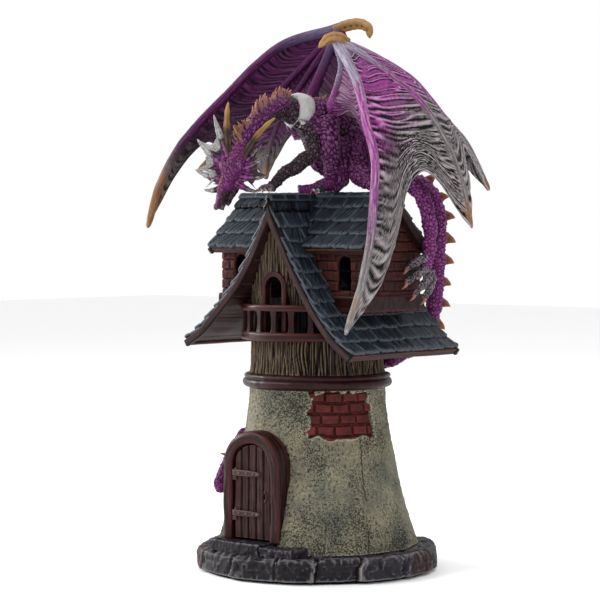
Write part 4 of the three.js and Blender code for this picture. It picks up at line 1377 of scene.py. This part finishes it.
def paw(made, place, forward, spread, claw_fade, size=1.0, seed=0):
    """A spread foot: jointed toes and hooked claws."""
    place, forward, down = (np.array(v, float) for v in (place, forward, (0, 0, -1)))
    toes = 4
    forward /= np.linalg.norm(forward)
    side = np.cross(forward, down)
    side /= np.linalg.norm(side)
    for k in range(toes):
        turn = (k - (toes - 1) / 2) * spread
        out = forward * math.cos(turn) + side * math.sin(turn)
        root = place + side * math.sin(turn) * 1.2 * size
        knuckle = root + out * 2.6 * size - down * 1.1 * size
        tip = root + out * 5.0 * size + down * 0.5 * size
        toe = spline([root, knuckle, tip], 14)
        tube(
            made, toe, np.linspace(1.35, 0.85, 14) * size, 18, scale_skin(1.1, 0.25, seed + k),
            fade=claw_fade * 0.9,
        )
        spike(
            made, tip - out * 0.5, tip + out * 2.4 * size + down * 1.5 * size, 0.75 * size,
            -down * 0.7 * size, 1, 10, fade=claw_fade, tint=0.85,
        )


BODY_PATH = [[-2, -14, 231], [0, -2, 229.5], [2, 10, 226], [3, 20, 221], [4, 27, 215]]
BODY_RADII = [6.5, 8.5, 8, 8.5, 6.5]
NECK_PATH = [[-2, -14, 231], [-3, -24, 233], [-3, -34, 230], [-5, -43, 223], [-9, -46, 213]]
NECK_RADII = [6.5, 5.5, 5, 4.6, 4.4]


def dragon_body():
    """The scaled trunk: its crest, shoulders and haunches, and a thigh down to the cross ridge."""
    made = Sculpt()
    count = 130
    path, radius = spline(BODY_PATH, count), spline(np.array(BODY_RADII)[:, None], count)[:, 0]
    angle = np.tile(np.arange(110) / 110 * TAU, (count, 1))
    belly = 0.36 * smoothstep(-0.1, 0.45, -np.sin(angle))
    skin = scale_skin(1.9, 0.75, 301)
    ribs = lambda d, a, r: skin(d, a, r) + 0.5 * np.sin(d * 0.8) * np.cos(a) ** 2
    tube(made, path, radius, 110, ribs, 1.08, 0.5, belly)
    back_row(made, path, radius * 1.05, 0.08, 0.97, 46, 4.6, 0.6, 303, 0.75)
    for sign in (-1, 1):
        limb(
            made, [[sign * 3, 14, 222], [sign * 6 + 1, 18, 219], [sign * 6 + 2, 22, 215]], [6.5, 6.8, 4.5],
            305 + sign, size=2.0, depth=0.75,
        )
        limb(
            made, [[sign * 3 - 1, -10, 228], [sign * 5, -9, 224], [sign * 5 + 2, -9, 219]], [6, 5.5, 3.8],
            308 + sign, size=2.0, depth=0.75,
        )
    limb(
        made, [[6, 8, 216], [10, 5, 206], [11, 3, 198], [8, 0, 193.5]], [7, 7, 5.5, 3.5], 311, 0.03, 1.9,
        0.75,
    )
    made.build("dragon_body", SCALES, "tower", ["dragon_body"], 0.4)


def dragon_neck():
    made = Sculpt()
    count = 140
    path, radius = spline(NECK_PATH, count), spline(np.array(NECK_RADII)[:, None], count)[:, 0]
    t, angle = np.meshgrid(np.linspace(0, 1, count), np.arange(96) / 96 * TAU, indexing="ij")
    ragged = 0.05 * noise(np.stack([t * 40, angle * 5, 0 * t], -1).reshape(-1, 3), 3, 5).reshape(t.shape)
    belly = 0.33 * smoothstep(-0.4, 0.1, -np.sin(angle))
    dark_ring = 0.34 * (smoothstep(0.1, 0.14, t + ragged) - smoothstep(0.2, 0.3, t + ragged))
    fade = np.maximum(belly, dark_ring)
    skin = scale_skin(1.6, 0.6, 311)
    tube(made, path, radius, 96, skin, 1.05, 0.5, fade)
    back_row(made, path, radius, 0.14, 0.97, 60, 5.4, -0.5, 313, 0.75)
    band = spline([[-0.6, -8.4, 230.0], [-1.5, -12.2, 231.2], [-2.4, -17.0, 231.6]], 60)
    t, angle = np.meshgrid(np.linspace(0, 1, 60), np.arange(90) / 90 * TAU, indexing="ij")
    width = 9.3 - 1.7 * np.abs(np.linspace(-1, 1, 60)) ** 3
    ragged = 0.35 * noise(np.stack([t * 3, angle * 3, 0 * t], -1).reshape(-1, 3), 0.6, 315).reshape(t.shape)
    tone = 0.57 - 0.24 * smoothstep(0.62, 0.95, -np.sin(angle) + ragged)
    streak = lambda s, a, r: (
        0.3 * np.sin(14 * a + 3 * np.sin(3 * a)) * smoothstep(-0.3, 0.6, -np.sin(a))
        + 0.35 * fbm(np.stack([s.ravel(), a.ravel() * 6, 0 * s.ravel()], 1), 2.2, 3, 317).reshape(s.shape)
    )
    tube(made, band, width, 90, streak, 1.04, 0.5, tone)
    made.build("dragon_neck", SCALES, "tower", ["dragon_neck"], 0.4)


def dragon_head():
    """The hanging head: skull, jaw, brows, nostrils, side locks, teeth and the two webbed frills."""
    made = Sculpt()
    skull = [
        [-8, -45, 215], [-9.5, -48, 209], [-11, -51, 203], [-12.6, -54, 196], [-14, -56, 189],
        [-15, -57.5, 182.5],
    ]
    count = 90
    path = spline(skull, count)
    radius = spline(np.array([4.4, 5.6, 5.9, 4.6, 3.5, 2.5])[:, None], count)[:, 0]
    t, angle = np.meshgrid(np.linspace(0, 1, count), np.arange(72) / 72 * TAU, indexing="ij")
    fade = 0.34 * smoothstep(0.5, 0.9, t) * smoothstep(0.3, -0.5, np.sin(angle)) + 0.02
    face = lambda s, a, r: (
        0.3 * scale_skin(1.5, 0.8, 321)(s, a, r)
        + 0.8 * np.exp(-((s - 17) / 3) ** 2) * np.abs(np.sin(a))
        + 0.5 * np.cos(2 * a) * smoothstep(8, 20, s)
    )
    tube(made, path, radius, 72, face, 0.92, 0.5, fade, up=(-1, -0.4, 0))
    jaw = spline([[-7.5, -43.5, 205], [-10.2, -47, 197], [-12.4, -51, 189.5], [-13.8, -53.4, 184.5]], 50)
    tube(
        made, jaw, np.linspace(3.4, 1.5, 50), 40, scale_skin(1.5, 0.35, 325), 0.7, 0.4, 0.33,
        up=(-1, -0.4, 0),
    )
    # The head is turned to its own left: facing is out of the face, right is across it.
    facing = np.array([0.64, -0.77, 0.0])
    right = np.array([0.77, 0.64, 0.0])
    for sign in (-1, 1):
        brow = np.array([-11.5, -52.5, 203.5]) + right * 3.9 * sign + facing * 2.2
        limb(
            made, [brow + [0, 0, 3.4], brow + facing * 0.9, brow + [0, 0, -3.8] - right * sign],
            [1.0, 1.7, 0.7], 331 + sign, size=1.2, depth=0.3, around=24,
        )
        eye = brow + facing * 0.8 + np.array([0, 0, -2.4]) - right * 0.3 * sign
        spike(made, eye - facing * 0.9, eye + facing * 0.7, 0.95, around=14, fade=0.75, tint=0.8)
        nose = np.array([-15, -57.5, 183.5]) + right * 1.5 * sign + facing * 1.2
        limb(
            made, [nose + [0, 0, 1.6], nose, nose + [0, 0, -1.5]], [0.7, 1.25, 0.6], 335 + sign, fade=0.36,
            size=1, depth=0.2, around=20, step=0.25,
        )
        for k in range(11):
            spot = at_path(path, 0.08 + 0.068 * k) + right * sign * (4.0 - 0.3 * k) + facing * (1.8 - 0.1 * k)
            reach = (10.5 - 0.75 * k) * (0.75 + 0.4 * ((k * 7) % 3) / 2)
            lift = np.array([0, 0, 6.5 - 0.85 * k])
            spike(
                made, spot - right * sign * 2.0, spot + right * sign * reach + lift - facing * 1.5,
                2.0 - 0.09 * k, lift * 0.12, 0.75, 16, fade=(0.0, 0.12, 0.06)[k % 3],
                tint=(0.6, 0.75, 0.5)[k % 3], fade_tip=(0.12, 0.3, 0.1)[k % 3],
            )
        for k in range(4):
            tooth = at_path(path, 0.72 + 0.07 * k) + right * sign * (2.3 - 0.25 * k) + facing * 0.2
            spike(
                made, tooth, tooth - facing * 1.9 + [0, 0, -0.8], 0.42, around=8, rings=6, fade=0.6, tint=0.9
            )
    frills = (
        ([-12, -52.5, 205], [-20, -56, 229], 2.8), ([-13, -53, 202], [-26.5, -61, 217], 3.0),
        ([-13.5, -54, 197], [-26, -63, 202], 2.4), ([-13.5, -54, 194], [-22, -61, 192], 2.0),
        ([-8, -50, 202], [6, -44.5, 209], 2.2), ([-8.5, -50.5, 199], [6, -44.5, 199], 2.2),
        ([-8, -49.5, 205], [2, -45, 214], 2.0), ([-9.5, -51.5, 196], [1.5, -47, 191], 1.8),
    )
    for root, tip, size in frills:
        root, tip = np.array(root, float), np.array(tip, float)
        path_t = np.linspace(0, 1, 22)[:, None]
        frill = root + (tip - root) * path_t + np.array([0, 0, -1.2]) * (4 * path_t * (1 - path_t))
        blade = size * (1 - path_t[:, 0]) ** 0.7 + 0.15
        pale = 0.41 if tip[0] < -10 else 0.37
        tone = 0.05 + pale * smoothstep(0.3, 0.6, path_t[:, :1]) * np.ones(20)
        tube(
            made, frill, blade, 20, lambda s, a, r: 0.16 * r * np.sin(5 * a) + 0.1 * r * np.sin(s * 1.9),
            0.6, 0.6, tone, up=tuple(facing),
        )
    for root, tips, tone in (
        (
            [-12.5, -53, 203],
            [
                [-20, -56, 228], [-18, -57, 218], [-26.5, -61, 217], [-23, -60, 208], [-26, -63, 202],
                [-20, -60, 198], [-22, -61, 192],
            ],
            0.465,
        ),
        (
            [-8, -50, 200],
            [
                [2, -45, 214], [1, -46, 208], [6, -44.5, 209], [1.5, -46.5, 203], [6, -44.5, 199],
                [0, -48, 195], [1.5, -47, 191],
            ],
            0.36,
        ),
    ):
        for first, second in zip(tips[:-1], tips[1:]):
            u, v = np.meshgrid(np.linspace(0, 1, 22), np.linspace(0.05, 1, 34), indexing="ij")
            far = np.array(first) + (np.array(second, float) - first) * u[..., None]
            skin = np.array(root, float) + (far - root) * (v * (0.94 - 0.16 * np.sin(np.pi * u)))[..., None]
            ruffle = (0.22 * np.sin(u * 10) * v + 0.5)[..., None] * facing
            shell(
                made, skin + ruffle * 0.9, skin + ruffle * 0.9 - facing * 0.8, 0.5,
                0.04 + (tone - 0.04) * smoothstep(0.35, 0.75, v),
            )
    crest = spline(
        [[-9, -47.5, 216], [-10, -51.5, 211], [-10.6, -55.5, 204], [-12, -58.2, 197], [-13.6, -59.4, 191]],
        60,
    )
    tube(
        made, crest, 1.5 - 0.9 * np.linspace(0, 1, 60) + 0.35 * np.abs(np.sin(np.linspace(0, 19, 60))), 20,
        None, 0.75, 0.5, 0.8, up=tuple(facing),
    )
    for k in range(9):
        root = at_path(crest, 0.04 + 0.1 * k)
        spike(
            made, root - facing * 0.3, root + facing * (2.4 - 0.16 * k) + [0, 0, 2.2 - 0.12 * k],
            1.0 - 0.05 * k, (0, 0, 0.4), 0.8, fade=0.82,
        )
    made.build("dragon_head", SCALES, "tower", ["dragon_head"], 0.3)
    for side, root, tip in (
        ("right", [-13, -52, 208], [-12, -54, 235]), ("left", [-7, -49, 206], [9, -43, 227])
    ):
        made = Sculpt()
        grooves = lambda s, a, r: (
            0.2 * r * np.abs(np.sin(2.5 * a + 0.06 * s))
            + 0.12 * np.sin(s * 0.9) * smoothstep(0.3, 1, r)
        )
        t = np.linspace(0, 1, 60)[:, None]
        path = (
            np.array(root)
            + (np.array(tip, float) - root) * t
            + np.array([-0.6, -0.8, 1.8]) * (4 * t * (1 - t))
        )
        tube(made, path, 1.75 * (1 - t[:, 0]) ** 0.5 + 0.15, 40, grooves, 1, 0.5, t * np.ones(40))
        made.build(f"horn_{side}", BONE, "tower", [f"horn_{side}"], 0.2)


def dragon_legs():
    made = Sculpt()
    path = limb(
        made, [[2, -11, 225], [8, -13, 212], [5, -20, 205], [1, -29, 199], [0, -36, 192.6]],
        [5.4, 3.9, 3.5, 2.8, 2.2], 341, 0.33, 1.6, 0.55,
    )
    paw(made, [0, -36, 192.4], [-0.1, -1, 0], 0.42, 0.45, 1.05, 343)
    for k in range(5):
        root = at_path(path, 0.32 + 0.1 * k) + np.array([2.6, 2, 0.4])
        spike(made, root - [1.4, 1, 0], root + [2.2, 2.4, 1.2], 1.0, fade=0.34)
    made.build("leg_front_right", SCALES, "tower", ["leg_front_right"], 0.35)

    made = Sculpt()
    limb(
        made, [[8, -3, 227], [13, -6, 214], [12, -3, 203], [10, -2, 196], [8, -6, 193.0]],
        [6.4, 5.2, 3.7, 3, 2.3], 351, 0.02, 1.9, 0.7,
    )
    paw(made, [8, -6, 192.4], [-0.35, -1, 0], 0.4, 0.32, 1.1, 353)
    limb(made, [[11, -2, 197], [6, -9, 193.3], [1, -16, 192.4]], [2.8, 2.4, 1.7], 355, 0.1, 1.8, 0.5)
    made.build("leg_front_left", SCALES, "tower", ["leg_front_left"], 0.35)

    made = Sculpt()
    limb(
        made, [[-4, 21, 221], [-12, 16, 210], [-9, 24, 200], [-2, 14, 192.8]], [7.2, 6.0, 3.9, 2.4], 361,
        0.02, 1.9, 0.7,
    )
    paw(made, [-2, 14, 192.4], [0.1, -1, 0], 0.42, 0.36, 1.15, 363)
    made.build("leg_hind_right", SCALES, "tower", ["leg_hind_right"], 0.35)

    made = Sculpt()
    limb(
        made,
        [
            [10, 22, 218], [17, 14, 206], [27, 18, 199], [45, 22, 194], [54, 21, 181], [55.5, 21, 166],
            [54, 20, 153],
        ],
        [7.4, 6.2, 4.8, 4.0, 3.4, 3.0, 2.6], 371, 0.12, 1.7, 0.75, tint=0.85,
    )
    limb(
        made, [[17, 13, 207], [22, 8, 201], [30, 4, 197], [38, 3, 195]], [6.4, 6.2, 4.6, 2.8], 373, 0.05,
        1.9, 0.75,
    )
    for k, (start, stop) in enumerate(
        (
            ((54.5, 19, 158), (48, 12, 153)), ((54.5, 20, 153), (49.5, 10, 146)),
            ((54.5, 21, 149), (50.5, 15, 140)), ((55, 22, 151), (52.5, 21, 138)),
        )
    ):
        start, stop = np.array(start, float), np.array(stop, float)
        knuckle = (start + stop) / 2 + [3.2, -0.6, 1.6]
        toe = spline([start, knuckle, stop], 30)
        tube(
            made, toe, np.interp(np.linspace(0, 1, 30), [0, 0.45, 0.6, 1], [2.2, 1.6, 1.9, 1.1]), 24,
            scale_skin(1.5, 0.8, 375 + k), fade=0.41, tint=0.7,
        )
        spike(made, stop, stop + [-1.8, -1.6, -3.4], 1.1, (1.2, -0.4, 0), 1, 14, fade=0.84, tint=0.75)
    made.build("leg_hind_left", SCALES, "tower", ["leg_hind_left"], 0.35)


TAIL_PATH = [
    [4, 27, 215], [6, 38, 206], [14, 47, 199], [28, 53, 193], [35, 54, 180], [35, 54, 162], [32, 57, 143],
    [29, 57, 126], [26, 48, 112], [22.5, 34, 106], [9, 40.5, 103], [-12, 42, 92], [-32, 31, 81],
    [-42.5, 14, 73], [-42.5, -8, 66.5], [-39.5, -20, 59.5], [-41.5, -24, 51], [-43, -25.7, 43],
    [-41.2, -26.6, 38],
]
TAIL_RADII = [6.5, 5.5, 5, 4.6, 4.4, 4.2, 4, 3.8, 3.6, 3.5, 3.4, 3.1, 2.8, 2.6, 2.4, 2.3, 2.3, 3.4, 2.5]


def dragon_tail():
    made = Sculpt()
    points, radii = TAIL_PATH[:9], TAIL_RADII[:9]
    path = limb(made, points, radii, 381, 0.1, 1.9, 0.8, around=84, tint=0.8)
    radius = np.interp(np.linspace(0, 1, len(path)), np.linspace(0, 1, 9), radii)
    tangent = np.gradient(path, axis=0)
    tangent /= np.linalg.norm(tangent, axis=1, keepdims=True)
    draw = np.random.default_rng(383)
    for t in np.linspace(0.07, 0.96, 13):
        k = int(t * (len(path) - 1))
        outward = np.array([path[k, 0] * 0.9 + 14, path[k, 1] * 0.55, 26 * (t < 0.4)])
        outward -= tangent[k] * outward.dot(tangent[k])
        outward /= np.linalg.norm(outward)
        size = draw.uniform(5.6, 7.2)
        root = path[k] + outward * (radius[k] - 1.8)
        spike(
            made, root, root + outward * size + tangent[k] * size * 0.25, draw.uniform(3.4, 4.2),
            tangent[k] * -0.7, 0.4, 18, fade=0.72, up=np.cross(tangent[k], outward),
        )
    made.build("tail_upper", SCALES, "tower", ["tail_upper"], 0.38)
    made = Sculpt()
    path = limb(made, TAIL_PATH[8:], TAIL_RADII[8:], 391, 0.05, 1.6, 0.6, around=66)
    knob = at_path(path, 0.94)
    for k, (dx, dy, dz) in enumerate(
        ((-2.4, -1.2, 2.2), (2.2, -2.2, 0.6), (-2.2, -0.8, -1.8), (0.8, -2.6, -2.2), (1.4, 1.2, 2.4))
    ):
        limb(
            made, [knob, knob + np.array([dx, dy, dz]) * 0.7, knob + np.array([dx, dy, dz])],
            [2.0, 1.9, 0.9], 395 + k, 0.08, 1.2, 0.35, 24,
        )
    for t, size in ((0.3, 2.6), (0.46, 2.6), (0.6, 2.8), (0.74, 4.2)):
        k = int(t * (len(path) - 1))
        outward = np.array([path[k, 0], path[k, 1] - 12 * (t > 0.7), 6.0])
        outward /= np.linalg.norm(outward)
        root = path[k] + outward * 1.2
        spike(made, root, root + outward * size + [0, 0, 0.8], 1.7, flat=0.6, fade=0.72, around=14)
    made.build("tail_lower", SCALES, "tower", ["tail_lower"], 0.36)


# ---------------------------------------------------------------- wings
BLADE = (0, 0.04, 0.09, 0.2, 0.29, 0.32, 0.315, 0.29, 0.22, 0.1, 0)


def web(made, first, second, seed, sag, lean=0.0, tones=None, strength=1.0, scallop=None, tint=0.5):
    """Skin between two fingers: hollowed, scalloped at its free edge and wrinkled across."""
    nu, nv = 72, 210
    one, two = spline(first, 400), spline(second, 400)
    u, v = np.meshgrid(np.linspace(0, 1, nu), np.linspace(0, 1, nv), indexing="ij")
    cut = 0.29 * np.maximum(np.sin(np.pi * u), 0) ** 1.25
    if scallop:
        cut = np.interp(u, np.linspace(0, 1, 200), spline(np.array(scallop)[:, None], 200)[:, 0])
    reach = 0.02 + 0.98 * v * (1 - cut)
    grid = np.linspace(0, 1, 400)
    a = np.stack([np.interp(reach, grid, one[:, k]) for k in range(3)], -1)
    b = np.stack([np.interp(reach, grid, two[:, k]) for k in range(3)], -1)
    mid = a + (b - a) * u[..., None]
    du, dv = np.gradient(mid, axis=0), np.gradient(mid, axis=1)
    normal = np.cross(du, dv)
    normal /= np.maximum(np.linalg.norm(normal, axis=2, keepdims=True), 1e-9)
    width = np.linalg.norm(b - a, axis=2)
    bow = np.sin(np.pi * u)
    drop = mid[..., 2].max() - mid[..., 2] + lean * (mid[..., 0] - mid[..., 0].mean())
    pull = smoothstep(0.78, 1.08, v)
    wave = drop * (1 - pull) + drop.max() * 0.8 * v * pull + 1.6 * np.cos(TAU * u) * (1 - pull)
    spot = lambda along, over: np.stack([wave / along, u * width / over, 0 * u], -1).reshape(-1, 3)
    wave = wave + 0.7 * noise(spot(1, 1), 14, seed).reshape(u.shape)
    creases = np.minimum(2.6 * np.abs(noise(spot(1.9, 40), 0.62, seed + 2)), 1).reshape(u.shape)
    fine = noise(spot(1.1, 18), 1, seed + 4).reshape(u.shape)
    crumbs = fbm(spot(1, 1.6), 1.1, 2, seed + 6).reshape(u.shape)
    edge = smoothstep(0, 0.07, u) * smoothstep(1, 0.93, u)
    height = (
        (0.8 * (2 * creases - 1) + 0.25 * fine + 0.25 * crumbs)
        * (0.25 + 0.75 * edge)
        * smoothstep(0.0, 0.12, reach)
    )
    height = height * strength
    thick = 0.62 - 0.3 * smoothstep(0.8, 1, v)
    shape = mid - sag * (bow * np.sqrt(v))[..., None] * normal
    top = shape + normal * (thick + 0.5 * height)[..., None]
    under = shape - normal * (thick - 0.5 * height)[..., None]
    steps = tones or ((0, 0), (1, 0.86))
    streaks = 0.07 * noise(spot(3.5, 14), 1, seed + 8).reshape(u.shape)
    shell(
        made, top, under, tint,
        np.clip(np.interp(reach, *np.array(steps).T) + streaks * smoothstep(0.1, 0.3, reach), 0, 1),
    )


def finger(made, points, seed, thickness=1.0, tones=((0, 0), (1, 0.86)), wide=1.0):
    """A wing finger, tapered towards its tip."""
    path = spline(points, 200)
    size = np.interp(np.linspace(0, 1, 200), [0, 0.15, 0.3, 0.65, 0.85, 0.96, 0.99, 1],
                     [2.5, 2.2, 2.0, 1.9, 1.9 * wide, 1.7 * wide, 1.2 * wide, 0.5]) * thickness
    veins = lambda s, a, r: 0.3 * fbm(
        np.stack([s.ravel() * 0.12, np.cos(a.ravel()) * 2, np.sin(a.ravel()) * 2], 1), 0.9, 3, seed
    ).reshape(s.shape)
    fade = np.interp(np.linspace(0, 1, 200), *np.array(tones).T)
    tube(made, path, size, 30, veins, 1.0, 0.34, fade[:, None] * np.ones(30))


def wing(side, arm, fingers, claw, material, seed, sag, lean, tones, finger_tones, strength, scallop, wide):
    """One wing: arm, fingers, webs between them and the claw at the wrist."""
    made = Sculpt()
    count = 90
    path = spline(arm, count)
    size = np.interp(np.linspace(0, 1, count), [0, 0.3, 0.7, 1], [3.8, 2.6, 2.3, 2.9])
    shade = np.interp(np.linspace(0, 1, count), [0, 0.25, 0.6, 1], [0.4, 0.34, 0.12, 0.0])
    tube(made, path, size, 48, scale_skin(1.5, 0.12, seed), 0.9, 0.5, shade[:, None] * np.ones(48))
    for k, points in enumerate(fingers):
        last = finger_tones[min(k, len(finger_tones) - 1)]
        finger(made, points, seed + k, 1.1 if k == 0 else 0.9, last, wide if k < 3 else 1.0)
    for k in range(len(fingers) - 1):
        web(
            made, fingers[k], fingers[k + 1], seed + 10 * k, sag, lean, tones, strength, scallop
            if k == 0
            else None
        )
    inner = np.array(arm[::-1], float)
    outer = spline(fingers[0], 100)[:42]
    if side == "left":
        web(
            made, outer, inner, seed + 70, 0.5 * sag, lean, ((0, 0.1), (0.3, 0.3), (1, 0.34)), 0.6, None,
            0.05,
        )
    made.build(f"wing_{side}", material, "tower", [f"wing_{side}"], 0.28)
    made = Sculpt()
    hook = spline(claw, 60)
    ridges = lambda s, a, r: 0.1 * np.sin(s * 1.8) + 0.12 * r * np.sin(4 * a)
    shape = np.interp(np.linspace(0, 1, 60), [0, 0.4, 0.75, 0.93, 1], [3.6, 3.4, 2.6, 1.5, 0.4])
    tube(
        made, hook, shape, 30, ridges, 0.85, 0.5,
        (0.55 + 0.45 * np.linspace(0, 1, 60))[:, None] * np.ones(30),
    )
    made.build(f"wing_claw_{side}", BONE, "tower", [f"wing_claw_{side}"], 0.25)


def wings():
    wing(
        "left", [[5, 1, 229], [9, 1, 236], [13, 1, 245], [18, -2, 255], [19, -7, 266]],
        (
            [
                [19, -7, 266], [36, -12, 244], [45, -17, 226], [54, -21, 206], [58, -27, 187],
                [59, -31, 167], [55, -33, 145], [47, -35, 121.5],
            ],
            [
                [19, -7, 266], [32, -4, 259], [44, 1, 250], [57, 7, 238], [67, 14, 221], [72, 24, 198],
                [72, 34, 173],
            ],
            [
                [19, -7, 266], [29, 6, 260], [43, 23, 247], [52, 38, 228], [56, 50, 216], [60, 58, 201],
                [62, 62, 192],
            ],
            [[19, -7, 266], [20, 7, 254], [18, 22, 238], [14, 32, 224]],
        ),
        [[22, -4, 264.5], [20, -7.5, 267.3], [17, -12, 267.2], [14.6, -16.5, 262.6]], NEAR_WING, 401, 3.0,
        -0.1, ((0, 0), (0.08, 0.13), (0.17, 0.34), (0.42, 0.46), (0.56, 0.62), (0.8, 0.8), (1, 0.9)),
        (
            (
                (0, 0), (0.13, 0.1), (0.2, 0.4), (0.56, 0.45), (0.7, 0.56), (0.8, 0.74), (0.9, 0.9),
                (1, 0.84),
            ),
            ((0, 0), (0.2, 0.12), (0.45, 0.3), (0.6, 0.62), (0.88, 0.82), (0.93, 0.95), (1, 1)),
            ((0, 0), (0.2, 0.2), (0.5, 0.5), (0.8, 0.82), (0.9, 0.95), (1, 1)), ((0, 0.1), (1, 0.5)),
        ),
        0.85, BLADE, 0.85,
    )
    wing(
        "right", [[-3, 1, 228], [-8, 1, 234], [-9, 11, 249], [-9, 21, 265], [-8, 27, 276]],
        (
            [
                [-8, 27, 276], [-34, 16, 269], [-48, 8, 258], [-60, -1, 243], [-70, -12, 228],
                [-77, -23, 212], [-80, -33, 193], [-80, -41, 173],
            ],
            [[-8, 27, 276], [-30, 22, 256], [-48, 12, 236], [-60, -4, 216], [-68, -16, 202]],
            [[-8, 27, 276], [-27, 24, 252], [-36, 14, 230], [-32, -2, 210], [-26, -10, 198]],
            [[-8, 27, 276], [-16, 25, 256], [-17, 18, 240], [-14, 8, 228]],
            [[-8, 27, 276], [1, 25, 262], [6, 20, 247], [8, 14, 234]],
        ),
        [[-10, 26, 275], [-4, 29, 277.4], [2, 31.5, 278], [6.5, 33, 275.5], [7, 33.5, 270.5]], FAR_WING,
        451, -3.0, -0.25,
        ((0, 0.08), (0.1, 0.2), (0.4, 0.46), (0.6, 0.58), (0.75, 0.7), (0.9, 0.8), (1, 0.86)),
        (
            ((0, 0), (0.12, 0.06), (0.25, 0.2), (0.6, 0.48), (0.72, 0.66), (0.82, 0.86), (1, 1)),
            ((0, 0.1), (0.3, 0.3), (0.7, 0.62), (0.9, 0.82), (1, 0.95)),
            ((0, 0.1), (0.3, 0.3), (0.6, 0.6), (0.85, 0.8), (1, 0.95)), ((0, 0.15), (1, 0.45)),
        ),
        0.6, BLADE, 1.0,
    )


# ---------------------------------------------------------------- put together
stone_base()
doorstep()
tower_wall()
brick_patch()
arch_frame("door_frame", "door_frame", 6, TIMBER, 0.55, 113, 1.6, 0.4)
arch_frame("balcony_door_frame", "balcony_door_frame", 2.8, TIMBER, 0.25, 115, 0.9)
arch_frame("hatch_frame", "hatch_frame", 3, TIMBER, 0.3, 117, 0.8)
door_leaf()
for level in ("lower", "upper"):
    strap(level)
    pintle(level)
ring_moulding()
drum_and_gable()
balcony()
hatch_sill()
roofs()
bays()
plain_nodes()
dragon_body()
dragon_neck()
dragon_head()
dragon_legs()
dragon_tail()
wings()


# ---------------------------------------------------------------- floor, light and camera
def floor():
    mesh = bpy.data.meshes.new("floor")
    reach = 3.0
    mesh.from_pydata(
        [(-reach, -reach, 0), (reach, -reach, 0), (reach, reach, 0), (-reach, reach, 0)], [], [(0, 1, 2, 3)]
    )
    obj = bpy.data.objects.new("floor", mesh)
    bpy.context.scene.collection.objects.link(obj)
    material = bpy.data.materials.new("floor_paper")
    material.use_nodes = True
    shader = material.node_tree.nodes["Principled BSDF"]
    shader.inputs["Base Color"].default_value = (0.9, 0.9, 0.9, 1)
    shader.inputs["Roughness"].default_value = 0.6
    mesh.materials.append(material)


def lamp(name, place, aim, power, size):
    data = bpy.data.lights.new(name, "AREA")
    data.energy, data.size = power, size
    obj = bpy.data.objects.new(name, data)
    obj.location = place
    obj.rotation_euler = (Vector(aim) - Vector(place)).to_track_quat("-Z", "Y").to_euler()
    bpy.context.scene.collection.objects.link(obj)


def studio():
    floor()
    lamp("key", (-0.55, -0.9, 0.95), (0, 0, 0.14), 9, 0.45)
    lamp("fill", (1.15, -0.75, 0.55), (0, 0, 0.13), 3, 0.8)
    lamp("top", (0.1, 0.25, 1.3), (0, 0, 0.15), 5, 0.7)
    lamp("rim_left", (-1.25, -0.3, 0.5), (0, 0, 0.15), 14, 0.35)
    world = bpy.data.worlds.new("studio")
    world.use_nodes = True
    world.node_tree.nodes["Background"].inputs["Color"].default_value = (1, 1, 1, 1)
    world.node_tree.nodes["Background"].inputs["Strength"].default_value = 1.0
    bpy.context.scene.world = world
    bpy.context.scene.view_settings.view_transform = "Standard"
    bpy.context.scene.view_settings.look = "None"
    data = bpy.data.cameras.new("camera")
    data.sensor_width = 36
    data.lens = 140.4
    data.clip_start, data.clip_end = 0.05, 20
    data.dof.use_dof = False
    camera = bpy.data.objects.new("camera", data)
    camera.location = (0.7636, -0.91, 0.178)
    aim = Vector((-0.0068, -0.0057, 0.1364))
    camera.rotation_euler = (aim - camera.location).to_track_quat("-Z", "Y").to_euler()
    bpy.context.scene.collection.objects.link(camera)
    bpy.context.scene.camera = camera


studio()
